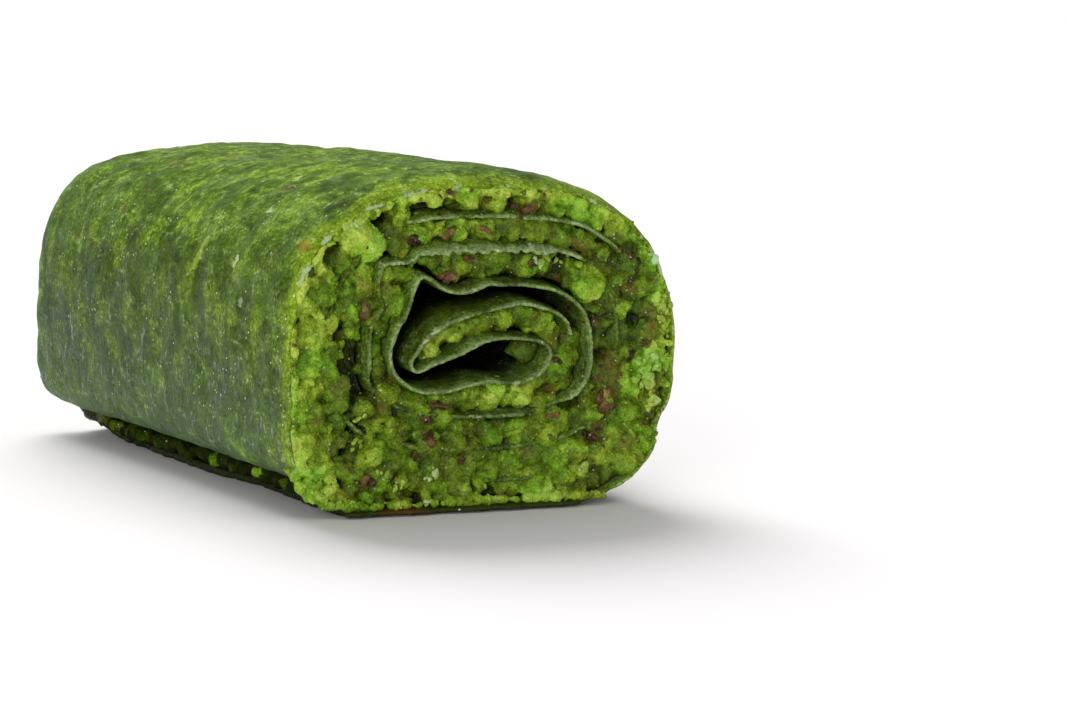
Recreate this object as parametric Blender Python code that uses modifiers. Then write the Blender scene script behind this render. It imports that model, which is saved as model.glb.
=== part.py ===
"""Pistachio baklava roll: one thin dough sheet rolled round crumbly ground pistachio, cut to a short length.

The roll lies on its flat base with its length along Y and its shown cut towards -Y.  Its section is one
spiral in X and Z: a core folded back on itself, then quarter turns that grow outwards, and last a flap
that lies flat under the roll.  The origin is on the ground under the middle of the roll.
Lists of section sizes are in millimetres; everything else is in metres.
"""
import math
import random

import bmesh
import bpy
from mathutils import Vector, bvhtree, geometry, noise

MM = 0.001
LENGTH = 0.052           # cut to cut
SHEET = 0.0005           # thickness of the syrup-soaked dough sheet
CLEARANCE = 0.0003       # gap between the sheet and the filling that touches it
RECESS = 0.0005          # how far the filling stays behind the sheet's cut edges
SPANS = [0.0035, 0.009, 0.0135]   # from each cut to the middle, lengths of the mesh's spans

# Centre line of the folded core in (x, z) millimetres, from the sheet's inner end
CORE_FOLD = [
    (6.5, 12.0), (6.0, 12.9), (4.9, 13.7), (3.2, 14.2), (1.4, 14.1), (-0.6, 13.6), (-2.6, 13.0),
    (-4.2, 12.2), (-5.2, 11.1), (-5.7, 10.2), (-5.3, 9.7), (-4.5, 9.9),
    (-2.2, 10.8), (0.4, 11.8), (3.0, 11.8), (4.5, 11.4), (4.9, 10.6), (4.2, 9.5),
    (2.6, 8.8), (0.0, 8.9), (-2.8, 8.3), (-5.2, 8.4), (-6.7, 9.3),
    (-7.2, 10.8), (-6.9, 12.2), (-6.1, 13.5), (-5.6, 15.0), (-5.0, 16.1), (-4.2, 15.9), (-3.2, 15.2),
    (-1.5, 15.1),
]
# Quarter turns after the core: each side's distance in millimetres from the centre, and how square
# the corner after it is
TURNS = [
    (4.8, 2.8), (8.1, 2.8), (4.3, 2.8), (8.8, 3.2),      # top, right, bottom and left of the first turn
    (7.5, 2.6), (10.5, 2.9), (6.6, 3.0), (11.4, 3.0),
    (9.4, 2.6), (12.7, 3.0), (8.85, 7.0), (14.75, 2.45),
    (11.55, 2.45), (14.75, 3.2), (10.9, 2.0),
]
# Dents and bulges of the quarter turns: place and reach in quarters, outward push in millimetres
PUSHES = [(3.2, 0.1, -0.9), (3.45, 0.08, 0.5), (3.64, 0.08, -0.4), (7.4, 0.15, -0.5), (13.2, 0.1, -0.6)]
CENTRE_HEIGHT = 10.8     # millimetres, of the point that the quarter turns go round
BASE_LINE = 0.25         # millimetres, centre line of the sheet where it lies on the ground
FLAP_END = -10.8         # millimetres, where the flap ends under the left side
FILLING_END = -10.1      # millimetres, where the filling over the flap ends
WALL_QUARTER = 10        # the quarter in which the outer skin leaves the bottom for the left side
DAM_END = (8.4, 11.5)    # past the core's inner end the filling stops on a line to this point
FINE_STEPS = 24          # steps to a quarter turn before the line is thinned
CORE_STEPS = 6           # steps between two of the core's points
TURN_STEP = math.radians(12)   # the thinned line turns by no more than this at a point
LONG_STEP = 4.5                # millimetres, its longest step

SWELL = 0.05             # the roll is this much higher behind its cuts than at them
SWELL_REACH = 0.003
LUMP = 0.00030           # unevenness of the whole roll
LUMP_STEP = 0.011
LUMP_FIELDS = [Vector((0, 0, 0)), Vector((31, 0, 0)), Vector((0, 57, 0))]   # one noise field for each axis
LIFT_START = 0.001       # the base stays flat up to this height
LIFT_REACH = 0.004       # and bends as the rest does from this much higher
CUT_RAG = 0.00020        # unevenness of the sheet's cut edges
CUT_RAG_STEP = 0.0011

NUGGET_SIZES = [1.7, 1.4, 1.15, 0.95, 0.75]   # millimetres, half lengths, largest first
NUGGETS_A_CUT = 46
NUGGET_TRIES = 260       # places tried for each size
NUGGET_SLIMNESS = 0.45   # least width of a nugget, as a share of its length
NUGGET_ROOM = 0.12       # millimetres that a nugget stays further from the sheet than the filling does
NUGGET_OVERLAP = 0.72    # least distance between two nuggets, as a share of their half lengths
NUGGET_FIELD = ((-15, 15), (0, 22.5))   # millimetres, where places for them are tried, in x and z
NUGGET_STANDS_OUT = (0.00040, 0.00090)
NUGGET_ROUGHNESS = 0.16
NUGGET_SEED = 11

SHEET_COLOUR = (0.155, 0.245, 0.035)
FILLING_COLOUR = (0.150, 0.230, 0.016)


def material(name, colour, roughness):
    """A plain Principled material."""
    made = bpy.data.materials.new(name)
    made.use_nodes = True
    shader = made.node_tree.nodes["Principled BSDF"]
    shader.inputs["Base Color"].default_value = (*colour, 1.0)
    shader.inputs["Roughness"].default_value = roughness
    shader.inputs["Metallic"].default_value = 0.0
    return made


def smooth_line(points, steps):
    """Points along a Catmull-Rom curve through the given ones, steps to each span."""
    ends = [points[0] * 2 - points[1]] + points + [points[-1] * 2 - points[-2]]
    line = []
    for a, b, c, d in zip(ends, ends[1:], ends[2:], ends[3:]):
        for step in range(steps):
            t = step / steps
            line.append(0.5 * (2 * b + (c - a) * t + (2 * a - 5 * b + 4 * c - d) * t**2
                               + (3 * b - a - 3 * c + d) * t**3))
    line.append(points[-1])
    return line


def quarter_point(place):
    """Point of the spiral, place quarter turns after it first passes over the core."""
    quarter = min(int(place), len(TURNS) - 2)
    angle = (place - quarter) * math.pi / 2
    (near, squareness), (far, _) = TURNS[quarter], TURNS[quarter + 1]
    push = sum(size * math.exp(-((place - at) / reach) ** 2) for at, reach, size in PUSHES)
    power = 2 / squareness
    sides = [Vector((0, 1)), Vector((1, 0)), Vector((0, -1)), Vector((-1, 0))]
    point = sides[quarter % 4] * (near + push) * max(math.cos(angle), 0) ** power
    point += sides[(quarter + 1) % 4] * (far + push) * math.sin(angle) ** power
    point.y = max(point.y + CENTRE_HEIGHT, BASE_LINE)
    return point


def thinned(line):
    """The line with only the points that its bends need."""
    kept = [line[0], line[1]]
    turned = 0.0
    for before, point, after in zip(line[1:], line[2:], line[3:]):
        turned += abs((point - before).angle_signed(after - point, 0.0))
        if turned > TURN_STEP or (after - kept[-1]).length > LONG_STEP:
            kept.append(point)
            turned = 0.0
    return kept + [line[-1]]


def flap(end):
    """The sheet's last stretch, flat on the ground up to an end, in (x, z) millimetres."""
    return [Vector((end * step / CORE_STEPS, BASE_LINE)) for step in range(1, CORE_STEPS + 1)]


def quarter_points():
    """Fine points of all the quarter turns, in (x, z) millimetres."""
    return [quarter_point(step / FINE_STEPS) for step in range((len(TURNS) - 1) * FINE_STEPS + 1)]


def sheet_line():
    """Centre line of the whole sheet in (x, z) millimetres, from the core to the end of the flap."""
    turns = quarter_points()
    core = smooth_line([Vector(point) for point in CORE_FOLD] + [turns[0]], CORE_STEPS)
    return thinned(core[:-1] + turns + flap(FLAP_END))


def skin_outline():
    """Closed line round the roll along the middle of its outer skin, in (x, z) millimetres."""
    start = WALL_QUARTER * FINE_STEPS
    wall = [point for point in quarter_points()[start:start + FINE_STEPS] if point.x < FILLING_END]
    return thinned(wall + quarter_points()[start + FINE_STEPS:] + flap(FILLING_END))


def bent(point, cut=0.0):
    """Where a point of the straight roll comes to lie in the real, uneven one."""
    from_cut = max(LENGTH / 2 - abs(point.y), 0)
    swell = 1 + SWELL * (1 - math.exp(-from_cut / SWELL_REACH))
    lump = Vector([noise.noise(point / LUMP_STEP + field) for field in LUMP_FIELDS]) * LUMP
    lifted = min(1, max(0, (point.z - LIFT_START) / LIFT_REACH))
    rag = noise.noise(point / CUT_RAG_STEP) * cut
    return Vector((point.x + lump.x, point.y + rag, point.z * swell + lump.z * lifted))


def mesh_object(name, mesh, collection):
    """A new object of the given mesh in a collection."""
    made = bpy.data.objects.new(name, mesh)
    collection.objects.link(made)
    return made


def strip(name, line, start, spans, collection):
    """An open surface: the line in X and Z drawn out along Y from its start, span by span."""
    shape = bmesh.new()
    points = [shape.verts.new((point.x * MM, start, point.y * MM)) for point in line]
    edges = [shape.edges.new(pair) for pair in zip(points, points[1:])]
    for span in spans:
        drawn = bmesh.ops.extrude_edge_only(shape, edges=edges)["geom"]
        moved = [item for item in drawn if isinstance(item, bmesh.types.BMVert)]
        bmesh.ops.translate(shape, verts=moved, vec=(0, span, 0))
        edges = [item for item in drawn if isinstance(item, bmesh.types.BMEdge) and item.verts[0] in moved
                 and item.verts[1] in moved]
    bmesh.ops.recalc_face_normals(shape, faces=shape.faces)
    mesh = bpy.data.meshes.new(name)
    shape.to_mesh(mesh)
    shape.free()
    return mesh_object(name, mesh, collection)


def thickened(strip_object, thickness):
    """Gives an open strip its thickness, half on each side."""
    wall = strip_object.modifiers.new("Thickness", 'SOLIDIFY')
    wall.thickness = thickness
    wall.offset = 0.0


def applied(source):
    """Replaces an object's mesh by its evaluated one, without its modifiers."""
    depsgraph = bpy.context.evaluated_depsgraph_get()
    depsgraph.update()
    mesh = bpy.data.meshes.new_from_object(source.evaluated_get(depsgraph))
    source.modifiers.clear()
    source.data = mesh
    return source


def prism(name, outline, length, collection):
    """A closed solid: the outline in X and Z drawn out along Y."""
    shape = bmesh.new()
    face = shape.faces.new([shape.verts.new((point.x * MM, -length / 2, point.y * MM)) for point in outline])
    drawn = bmesh.ops.extrude_face_region(shape, geom=[face])["geom"]
    moved = [item for item in drawn if isinstance(item, bmesh.types.BMVert)]
    bmesh.ops.translate(shape, verts=moved, vec=(0, length, 0))
    bmesh.ops.recalc_face_normals(shape, faces=shape.faces)
    mesh = bpy.data.meshes.new(name)
    shape.to_mesh(mesh)
    shape.free()
    return mesh_object(name, mesh, collection)


def cut_by(target, cutter):
    """Takes the cutter out of the target."""
    cut = target.modifiers.new("Cut", 'BOOLEAN')
    cut.operation = 'DIFFERENCE'
    cut.solver = 'EXACT'
    cut.use_self = True
    cut.object = cutter
    applied(target)


def keep_largest(target):
    """Keeps the body of a mesh that holds the most, and drops the loose rest."""
    shape = bmesh.new()
    shape.from_mesh(target.data)
    left = set(shape.verts)
    bodies = []
    while left:
        body, edge_of_body = set(), [left.pop()]
        while edge_of_body:
            vert = edge_of_body.pop()
            body.add(vert)
            for edge in vert.link_edges:
                other = edge.other_vert(vert)
                if other in left:
                    left.discard(other)
                    edge_of_body.append(other)
        bodies.append(body)
    largest = max(bodies, key=len)
    bmesh.ops.delete(shape, geom=[vert for body in bodies if body is not largest for vert in body],
                     context='VERTS')
    shape.to_mesh(target.data)
    shape.free()


def room_at(point, line):
    """Distance in millimetres from a point of the section to the sheet's middle, and its direction there."""
    nearest, direction = math.inf, Vector((1, 0))
    for a, b in zip(line, line[1:]):
        on_line, share = geometry.intersect_point_line(point, a, b)
        foot = a if share < 0 else b if share > 1 else on_line
        distance = (point - Vector(foot[:2])).length
        if distance < nearest:
            nearest, direction = distance, (b - a).normalized()
    return nearest, direction


def build_sheet(line, collection):
    """The rolled sheet, one continuous strip with its real thickness."""
    sheet = strip("pastry_sheet", line, -LENGTH / 2, SPANS + SPANS[::-1], collection)
    for vert in sheet.data.vertices:
        at_cut = abs(abs(vert.co.y) - LENGTH / 2) < SHEET
        vert.co = bent(vert.co, CUT_RAG if at_cut else 0.0)
    thickened(sheet, SHEET)
    sheet.data.materials.append(material("soaked dough sheet", SHEET_COLOUR, 0.32))
    return sheet


def nugget_places(filling, line, side, draw):
    """Places for nuggets on one cut, largest first: centre, direction, half length and half width."""
    tree = bvhtree.BVHTree.FromObject(filling, bpy.context.evaluated_depsgraph_get())
    taken = []
    for size in NUGGET_SIZES:
        for _ in range(NUGGET_TRIES):
            place = Vector([draw.uniform(*limits) for limits in NUGGET_FIELD])
            start = Vector((place.x * MM, side * LENGTH, place.y * MM))
            hit = tree.ray_cast(start, Vector((0, -side, 0)))[0]
            if hit is None or abs(abs(hit.y) - (LENGTH / 2 - RECESS)) > SHEET:
                continue
            room, direction = room_at(place, line)
            width = min(size, room - (SHEET / 2 + CLEARANCE) / MM - NUGGET_ROOM)
            apart = all((place - other).length > NUGGET_OVERLAP * (size + length)
                        for other, _, length, _ in taken)
            if apart and width > NUGGET_SLIMNESS * size and len(taken) < NUGGETS_A_CUT:
                taken.append((place, direction, size, width))
    return taken


def add_nuggets(filling, line, collection):
    """Joins coarse pieces of pistachio to both cuts of the filling, as one body with it."""
    draw = random.Random(NUGGET_SEED)
    for side in (-1, 1):
        for place, direction, size, width in nugget_places(filling, line, side, draw):
            bpy.ops.mesh.primitive_ico_sphere_add(subdivisions=1, radius=1)
            nugget = bpy.context.object
            across = Vector((-direction.y, 0, direction.x)) * width * MM
            along = Vector((direction.x, 0, direction.y)) * size * MM
            height = (width + size) / 2 * MM
            for vert in nugget.data.vertices:
                rough = draw.uniform(1 - NUGGET_ROUGHNESS, 1)
                stretched = along * vert.co.x + Vector((0, height, 0)) * vert.co.y + across * vert.co.z
                vert.co = stretched * rough
            depth = height - draw.uniform(*NUGGET_STANDS_OUT)
            nugget.location = (place.x * MM, side * (LENGTH / 2 - RECESS - depth), place.y * MM)
            for old in list(nugget.users_collection):
                old.objects.unlink(nugget)
            collection.objects.link(nugget)
    bpy.context.view_layer.update()
    union = filling.modifiers.new("Nuggets", 'BOOLEAN')
    union.operation = 'UNION'
    union.operand_type = 'COLLECTION'
    union.solver = 'EXACT'
    union.collection = collection
    applied(filling)
    for nugget in list(collection.objects):
        bpy.data.objects.remove(nugget, do_unlink=True)


def add_spans(target):
    """Cuts a straight prism's sides into the spans, so that it can bend with the sheet."""
    shape = bmesh.new()
    shape.from_mesh(target.data)
    place = -LENGTH / 2
    for span in (SPANS + SPANS[::-1])[:-1]:
        place += span
        everything = shape.verts[:] + shape.edges[:] + shape.faces[:]
        bmesh.ops.bisect_plane(shape, geom=everything, plane_co=(0, place, 0), plane_no=(0, 1, 0))
    shape.to_mesh(target.data)
    shape.free()


def build_filling(line, collection, cutters, nuggets):
    """The ground pistachio between the turns, with coarse nuggets standing out of both cuts."""
    filling = prism("pistachio_filling", skin_outline(), LENGTH - 2 * RECESS, collection)
    dam = [Vector(DAM_END).lerp(line[0], share / 3) for share in range(3)]
    cutter = strip("sheet_cutter", dam + line, -LENGTH, [2 * LENGTH], cutters)
    thickened(cutter, SHEET + 2 * CLEARANCE)
    cutter.hide_render = True
    cutter.display_type = 'WIRE'
    cut_by(filling, cutter)
    keep_largest(filling)
    add_spans(filling)
    add_nuggets(filling, line, nuggets)
    keep_largest(filling)
    for vert in filling.data.vertices:
        vert.co = bent(vert.co)
    filling.data.materials.clear()
    filling.data.materials.append(material("ground pistachio", FILLING_COLOUR, 0.55))
    return filling


def main():
    for old in list(bpy.data.objects):
        bpy.data.objects.remove(old, do_unlink=True)
    roll = bpy.data.collections.new("pistachio_baklava_roll")
    cutters = bpy.data.collections.new("cutters")
    nuggets = bpy.data.collections.new("nuggets")
    for collection in (roll, cutters, nuggets):
        bpy.context.scene.collection.children.link(collection)
    line = sheet_line()
    build_sheet(line, roll)
    build_filling(line, roll, cutters, nuggets)
    bpy.data.collections.remove(nuggets)


main()
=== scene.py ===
import math
from functools import partial

import bpy
import numpy as np
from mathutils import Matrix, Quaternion, Vector, kdtree, noise


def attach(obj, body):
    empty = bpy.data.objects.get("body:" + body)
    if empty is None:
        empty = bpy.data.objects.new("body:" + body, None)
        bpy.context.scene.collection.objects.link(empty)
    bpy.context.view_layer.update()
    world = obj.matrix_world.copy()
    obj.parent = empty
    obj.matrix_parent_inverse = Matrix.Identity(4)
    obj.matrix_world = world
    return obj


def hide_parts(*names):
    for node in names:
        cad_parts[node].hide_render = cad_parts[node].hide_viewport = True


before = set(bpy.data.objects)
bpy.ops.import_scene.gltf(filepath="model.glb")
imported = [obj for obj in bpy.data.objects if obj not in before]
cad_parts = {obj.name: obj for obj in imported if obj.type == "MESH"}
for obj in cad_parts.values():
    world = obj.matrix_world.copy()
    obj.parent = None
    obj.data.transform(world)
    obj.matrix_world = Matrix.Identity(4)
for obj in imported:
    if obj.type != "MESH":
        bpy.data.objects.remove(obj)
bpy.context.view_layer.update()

MM = 0.001


# ---------------------------------------------------------------------------------------------------------
# Camera.  A long lens a little above the table, turned toward the roll's left.  Its angles, distance and
# lens were found by lining the roll's outline and cut up with the photograph of 1067 by 712 pixels.
VIEW_TURN = math.radians(27.6)       # to the left of the roll's own axis
VIEW_DROP = math.radians(5.7)        # the camera looks down by this
VIEW_LEAN = math.radians(1.24)       # and is held this much out of level
VIEW_DISTANCE = 0.217
VIEW_AIM = Vector((3.5, -26.0, 10.6)) * MM
LENS_MM = 106.3

toward_camera = Vector((-math.sin(VIEW_TURN) * math.cos(VIEW_DROP),
                        -math.cos(VIEW_TURN) * math.cos(VIEW_DROP), math.sin(VIEW_DROP)))
bpy.ops.object.camera_add(location=VIEW_AIM + toward_camera * VIEW_DISTANCE)
camera = bpy.context.object
facing = (-toward_camera).to_track_quat('-Z', 'Y') @ Quaternion((0, 0, 1), VIEW_LEAN)
camera.rotation_euler = facing.to_euler()
camera.data.lens = LENS_MM
camera.data.sensor_width = 36
camera.data.clip_start = 0.01
camera.data.clip_end = 20
bpy.context.scene.camera = camera


# ---------------------------------------------------------------------------------------------------------
# Table and light.  A white table in a white light tent that is brighter above and behind, with one wide soft
# lamp behind the roll, so that its shadow falls toward the camera, and a low one at the front left.
TABLE_SIZE = 6.0
TABLE_DROP = 0.00005                  # the table's top lies this far under the roll
TENT_LOW, TENT_TOP, TENT_BRIGHTEST = 0.02, 0.60, (0, 0.5, 0.87)
# The lamps: strength, then width, tilt from straight down and turn in degrees
LAMPS = {"back lamp": (3.4, 40, -50, -8), "front lamp": (1.6, 26, 79, -41)}


def srgb(hex_colour):
    """Linear RGBA of a hex sRGB colour."""
    shares = [int(hex_colour[at:at + 2], 16) / 255 for at in (1, 3, 5)]
    return (*[s / 12.92 if s <= 0.04045 else ((s + 0.055) / 1.055) ** 2.4 for s in shares], 1.0)


def set_inputs(node, inputs):
    """Sets a node's inputs, each to a value, a hex colour, a socket or a node's first output in use."""
    for name, value in inputs.items():
        if isinstance(value, bpy.types.Node):
            value = next(output for output in value.outputs if output.enabled)
        if isinstance(value, bpy.types.NodeSocket):
            node.id_data.links.new(value, node.inputs[name])
        else:
            node.inputs[name].default_value = srgb(value) if isinstance(value, str) else value


def add_node(tree, kind, inputs=None, stops=None, **settings):
    """Adds a shader node with its settings and inputs; stops are a colour ramp's places and colours."""
    made = tree.nodes.new("ShaderNode" + kind)
    for name, value in settings.items():
        setattr(made, name, value)
    set_inputs(made, inputs or {})
    if stops:
        elements = made.color_ramp.elements
        while len(elements) < len(stops):
            elements.new(0.5)
        for element, (place, colour) in zip(elements, stops):
            element.position = place
            element.color = srgb(colour) if isinstance(colour, str) else (colour, colour, colour, 1.0)
    return made


def new_material(name):
    """A new material, what adds a node to it, and its shader."""
    made = bpy.data.materials.new(name)
    made.use_nodes = True
    return made, partial(add_node, made.node_tree), made.node_tree.nodes["Principled BSDF"]


bpy.context.scene.view_settings.view_transform = 'Standard'

world = bpy.data.worlds.new("light tent")
bpy.context.scene.world = world
world.use_nodes = True
world.node_tree.nodes.clear()
add = partial(add_node, world.node_tree)
direction = add("TexCoord").outputs["Generated"]
nearness = add("VectorMath", {0: direction, 1: TENT_BRIGHTEST}, operation='DOT_PRODUCT')
upward = add("MapRange", {0: nearness, 1: -1.0, 2: 1.0, 3: TENT_LOW, 4: TENT_TOP})
light = add("Background", {0: "#ffffff", 1: upward})
seen = add("Background", {0: "#ffffff", 1: 1.0})
either = add("MixShader", {0: add("LightPath").outputs["Is Camera Ray"], 1: light, 2: seen})
add("OutputWorld", {0: either})

for lamp_name, (strength, width, tilt, turn) in LAMPS.items():
    bpy.ops.object.light_add(type='SUN', location=(0, 0, 0.3),
                             rotation=(math.radians(tilt), 0, math.radians(turn)))
    lamp = bpy.context.object
    lamp.name = lamp_name
    lamp.data.energy = strength
    lamp.data.angle = math.radians(width)
    lamp.visible_glossy = lamp_name == "front lamp"

bpy.ops.mesh.primitive_plane_add(size=TABLE_SIZE, location=(0, 0, -TABLE_DROP))
table = bpy.context.object
table.name = "table"
# White laminate: a moulded plastic sheet with a fine matt finish, so it is even and shines very little.
white, _, white_shader = new_material("white laminate")
set_inputs(white_shader, {"Base Color": "#f1eeef", "Roughness": 0.7, "Specular IOR Level": 0.2})
table.data.materials.append(white)


# ---------------------------------------------------------------------------------------------------------
# Outer skin.  The last turn of one thin dough sheet, wet with syrup so that it has gone translucent and
# takes the green of the nuts under it.  It was rolled by hand, so it is drawn over the lumps beneath, has
# creases that run round the roll, and its cut edges are pinched thin and frosted with dry sugar, the frost
# also standing for painted highlights along the rims.
LENGTH = 0.052           # cut to cut
WHOLE = LENGTH / MM
SHEET = 0.0005           # thickness of the sheet

# Centre line of the folded core in (x, z) millimetres, from the sheet's inner end
CORE_FOLD = [
    (6.5, 12.0), (6.0, 12.9), (4.9, 13.7), (3.2, 14.2), (1.4, 14.1), (-0.6, 13.6), (-2.6, 13.0),
    (-4.2, 12.2), (-5.2, 11.1), (-5.7, 10.2), (-5.3, 9.7), (-4.5, 9.9),
    (-2.2, 10.8), (0.4, 11.8), (3.0, 11.8), (4.5, 11.4), (4.9, 10.6), (4.2, 9.5),
    (2.6, 8.8), (0.0, 8.9), (-2.8, 8.3), (-5.2, 8.4), (-6.7, 9.3),
    (-7.2, 10.8), (-6.9, 12.2), (-6.1, 13.5), (-5.6, 15.0), (-5.0, 16.1), (-4.2, 15.9), (-3.2, 15.2),
    (-1.5, 15.1),
]
# Quarter turns after the core: each side's distance in millimetres from the centre, and how square
# the corner after it is
TURNS = [
    (4.8, 2.8), (8.1, 2.8), (4.3, 2.8), (8.8, 3.2),
    (7.5, 2.6), (10.5, 2.9), (6.6, 3.0), (11.4, 3.0),
    (9.4, 2.6), (12.7, 3.0), (8.85, 7.0), (14.75, 2.45),
    (11.55, 2.45), (14.75, 3.2), (10.9, 2.0),
]
# Dents and bulges of the quarter turns: place and reach in quarters, outward push in millimetres
PUSHES = [(3.2, 0.1, -0.9), (3.45, 0.08, 0.5), (3.64, 0.08, -0.4), (7.4, 0.15, -0.5), (13.2, 0.1, -0.6)]
CENTRE_HEIGHT = 10.8     # millimetres, of the point that the quarter turns go round
BASE_LINE = 0.25         # millimetres, centre line of the sheet where it lies on the table
FLAP_END = -10.8         # millimetres, where the sheet ends under the left side
SKIN_QUARTER = 10        # the quarter turn from which the sheet is the outer skin
STEPS = 40               # fine steps to a quarter turn, or to two core points

SWELL, SWELL_REACH = 0.05, 0.003     # the roll is this much higher behind its cuts than at them
LUMP, LUMP_STEP = 0.00030, 0.011     # unevenness of the whole roll
LUMP_FIELDS = [Vector((0, 0, 0)), Vector((31, 0, 0)), Vector((0, 57, 0))]   # one noise field for each axis
LIFT_START, LIFT_REACH = 0.001, 0.004   # the flat base keeps its shape up to here


def quarter_point(place):
    """Point of the spiral in (x, z) millimetres, place quarter turns after it first passes over the core."""
    quarter = min(int(place), len(TURNS) - 2)
    angle = (place - quarter) * math.pi / 2
    (near, squareness), (far, _) = TURNS[quarter], TURNS[quarter + 1]
    push = sum(size * math.exp(-((place - at) / reach) ** 2) for at, reach, size in PUSHES)
    power = 2 / squareness
    sides = [Vector((0, 1)), Vector((1, 0)), Vector((0, -1)), Vector((-1, 0))]
    point = sides[quarter % 4] * (near + push) * max(math.cos(angle), 0) ** power
    point += sides[(quarter + 1) % 4] * (far + push) * math.sin(angle) ** power
    point.y = max(point.y + CENTRE_HEIGHT, BASE_LINE)
    return point


def quarter_points(start, end):
    """Fine points of the spiral between two places, in quarter turns."""
    count = round((end - start) * STEPS)
    return [quarter_point(start + (end - start) * step / count) for step in range(count + 1)]


def smooth_line(points):
    """Fine points of a Catmull-Rom curve through the given ones."""
    ends = [points[0] * 2 - points[1]] + points + [points[-1] * 2 - points[-2]]
    line = []
    for a, b, c, d in zip(ends, ends[1:], ends[2:], ends[3:]):
        for t in np.arange(0, 1, 1 / STEPS):
            line.append(0.5 * (2 * b + (c - a) * t + (2 * a - 5 * b + 4 * c - d) * t**2
                               + (3 * b - a - 3 * c + d) * t**3))
    return line + [points[-1]]


class Section:
    """A line across the roll, with its arc length, from which places and outward normals are read."""

    def __init__(self, points):
        self.points = np.array([tuple(point) for point in points])
        steps = np.linalg.norm(np.diff(self.points, axis=0), axis=1)
        self.arc = np.concatenate([[0], np.cumsum(steps)])
        self.length = self.arc[-1]

    def at(self, arc):
        """Points in millimetres at these arc lengths."""
        return np.stack([np.interp(arc, self.arc, self.points[:, axis]) for axis in (0, 1)], -1)

    def normal(self, arc):
        """Unit normals there, to the left of the way the line runs, which is away from the roll's middle."""
        ahead = self.at(np.minimum(arc + 0.15, self.length)) - self.at(np.maximum(arc - 0.15, 0))
        ahead /= np.linalg.norm(ahead, axis=1, keepdims=True)
        return np.stack([-ahead[:, 1], ahead[:, 0]], -1)


def bent(points):
    """Where points of the straight roll, in metres, come to lie in the real, uneven one."""
    placed = points.copy()
    lumps = np.array([[noise.noise(Vector(point) / LUMP_STEP + field) for field in LUMP_FIELDS]
                      for point in points]) * LUMP
    from_cut = np.maximum(LENGTH / 2 - np.abs(points[:, 1]), 0)
    swell = 1 + SWELL * (1 - np.exp(-from_cut / SWELL_REACH))
    free = np.clip((points[:, 2] - LIFT_START) / LIFT_REACH, 0, 1)
    placed[:, 0] += lumps[:, 0]
    placed[:, 2] = points[:, 2] * swell + lumps[:, 2] * free
    return placed


def waves(points, step):
    """Smooth noise of about one wave to a step, from -1 to 1, at each point."""
    return np.array([noise.noise(Vector(point)) for point in np.asarray(points) / step])


def coordinates(piece):
    """A mesh object's vertex places as an array."""
    flat = np.empty(len(piece.data.vertices) * 3, np.float32)
    piece.data.vertices.foreach_get("co", flat)
    return flat.reshape(-1, 3).astype(float)


def place_vertices(piece, points):
    """Moves a mesh object's vertices to these places."""
    piece.data.vertices.foreach_set("co", np.asarray(points, np.float32).ravel())
    piece.data.update()


def deselect():
    """Leaves nothing selected, so that an operator acts on the new piece alone."""
    bpy.ops.object.select_all(action='DESELECT')


def apply_modifier(piece, name, kind, **settings):
    """Gives a piece a modifier with these settings and applies it."""
    modifier = piece.modifiers.new(name, kind)
    for setting, value in settings.items():
        setattr(modifier, setting, value)
    bpy.context.view_layer.objects.active = piece
    bpy.ops.object.modifier_apply(modifier=name)


EDGE_THINNING = 0.35     # the sheet's thickness at its cut edge, as a share
EDGE_REACH = 0.6         # millimetres, over which it thins
END_REACH = 4.0          # millimetres, over which the sheet's end wanders


def rolled_sheet(name, section, column, rows, relief, edge_shift, end_shift=None):
    """The dough sheet between two places of the section: a flat grid, rolled up and given its thickness.
    Column is the grid's step along the sheet and rows are the distances of its rows from one cut, in
    millimetres; relief moves it outward, edge_shift moves its cut edges inward along the roll, and
    end_shift draws back its far end."""
    deselect()
    columns = round(section.length / column)
    bpy.ops.mesh.primitive_grid_add(x_subdivisions=columns, y_subdivisions=len(rows) - 1, size=2)
    sheet = bpy.context.object
    sheet.name = name
    flat = coordinates(sheet)
    arc = (flat[:, 0] + 1) / 2 * section.length
    across = np.interp((flat[:, 1] + 1) / 2, np.linspace(0, 1, len(rows)), rows)
    to_cut = np.minimum(across, WHOLE - across)
    side = np.where(across < WHOLE / 2, 1, -1)
    across += side * edge_shift(arc, side) * np.exp(-to_cut / 1.2)
    if end_shift:
        arc -= end_shift(across) * np.clip(1 - (section.length - arc) / END_REACH, 0, 1)
    middle = section.at(arc) + section.normal(arc) * relief(arc, across)[:, None]
    middle[:, 1] = np.maximum(middle[:, 1], BASE_LINE)
    straight = np.stack([middle[:, 0] * MM, across * MM - LENGTH / 2, middle[:, 1] * MM], -1)
    place_vertices(sheet, bent(straight))
    corner = np.empty(len(sheet.data.loops), np.int32)
    sheet.data.loops.foreach_get("vertex_index", corner)
    places = np.stack([arc[corner], across[corner]], -1)
    sheet.data.uv_layers.active.data.foreach_set("uv", places.astype(np.float32).ravel())
    group = sheet.vertex_groups.new(name="thickness")
    share = 1 - (1 - EDGE_THINNING) * np.exp(-to_cut / EDGE_REACH)
    for index, weight in enumerate(share):
        group.add([index], float(weight), 'REPLACE')
    apply_modifier(sheet, "Thickness", 'SOLIDIFY', thickness=SHEET, offset=0, vertex_group=group.name)
    sheet.data.shade_smooth()
    return sheet


def mirrored_rows(near_cut, middle_step):
    """Row distances across the whole roll: fine near both cuts, even between."""
    inner = WHOLE - 2 * near_cut[-1]
    steps = round(inner / middle_step)
    middle = [near_cut[-1] + inner * step / steps for step in range(1, steps)]
    return near_cut + middle + [WHOLE - row for row in reversed(near_cut)]


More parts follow.
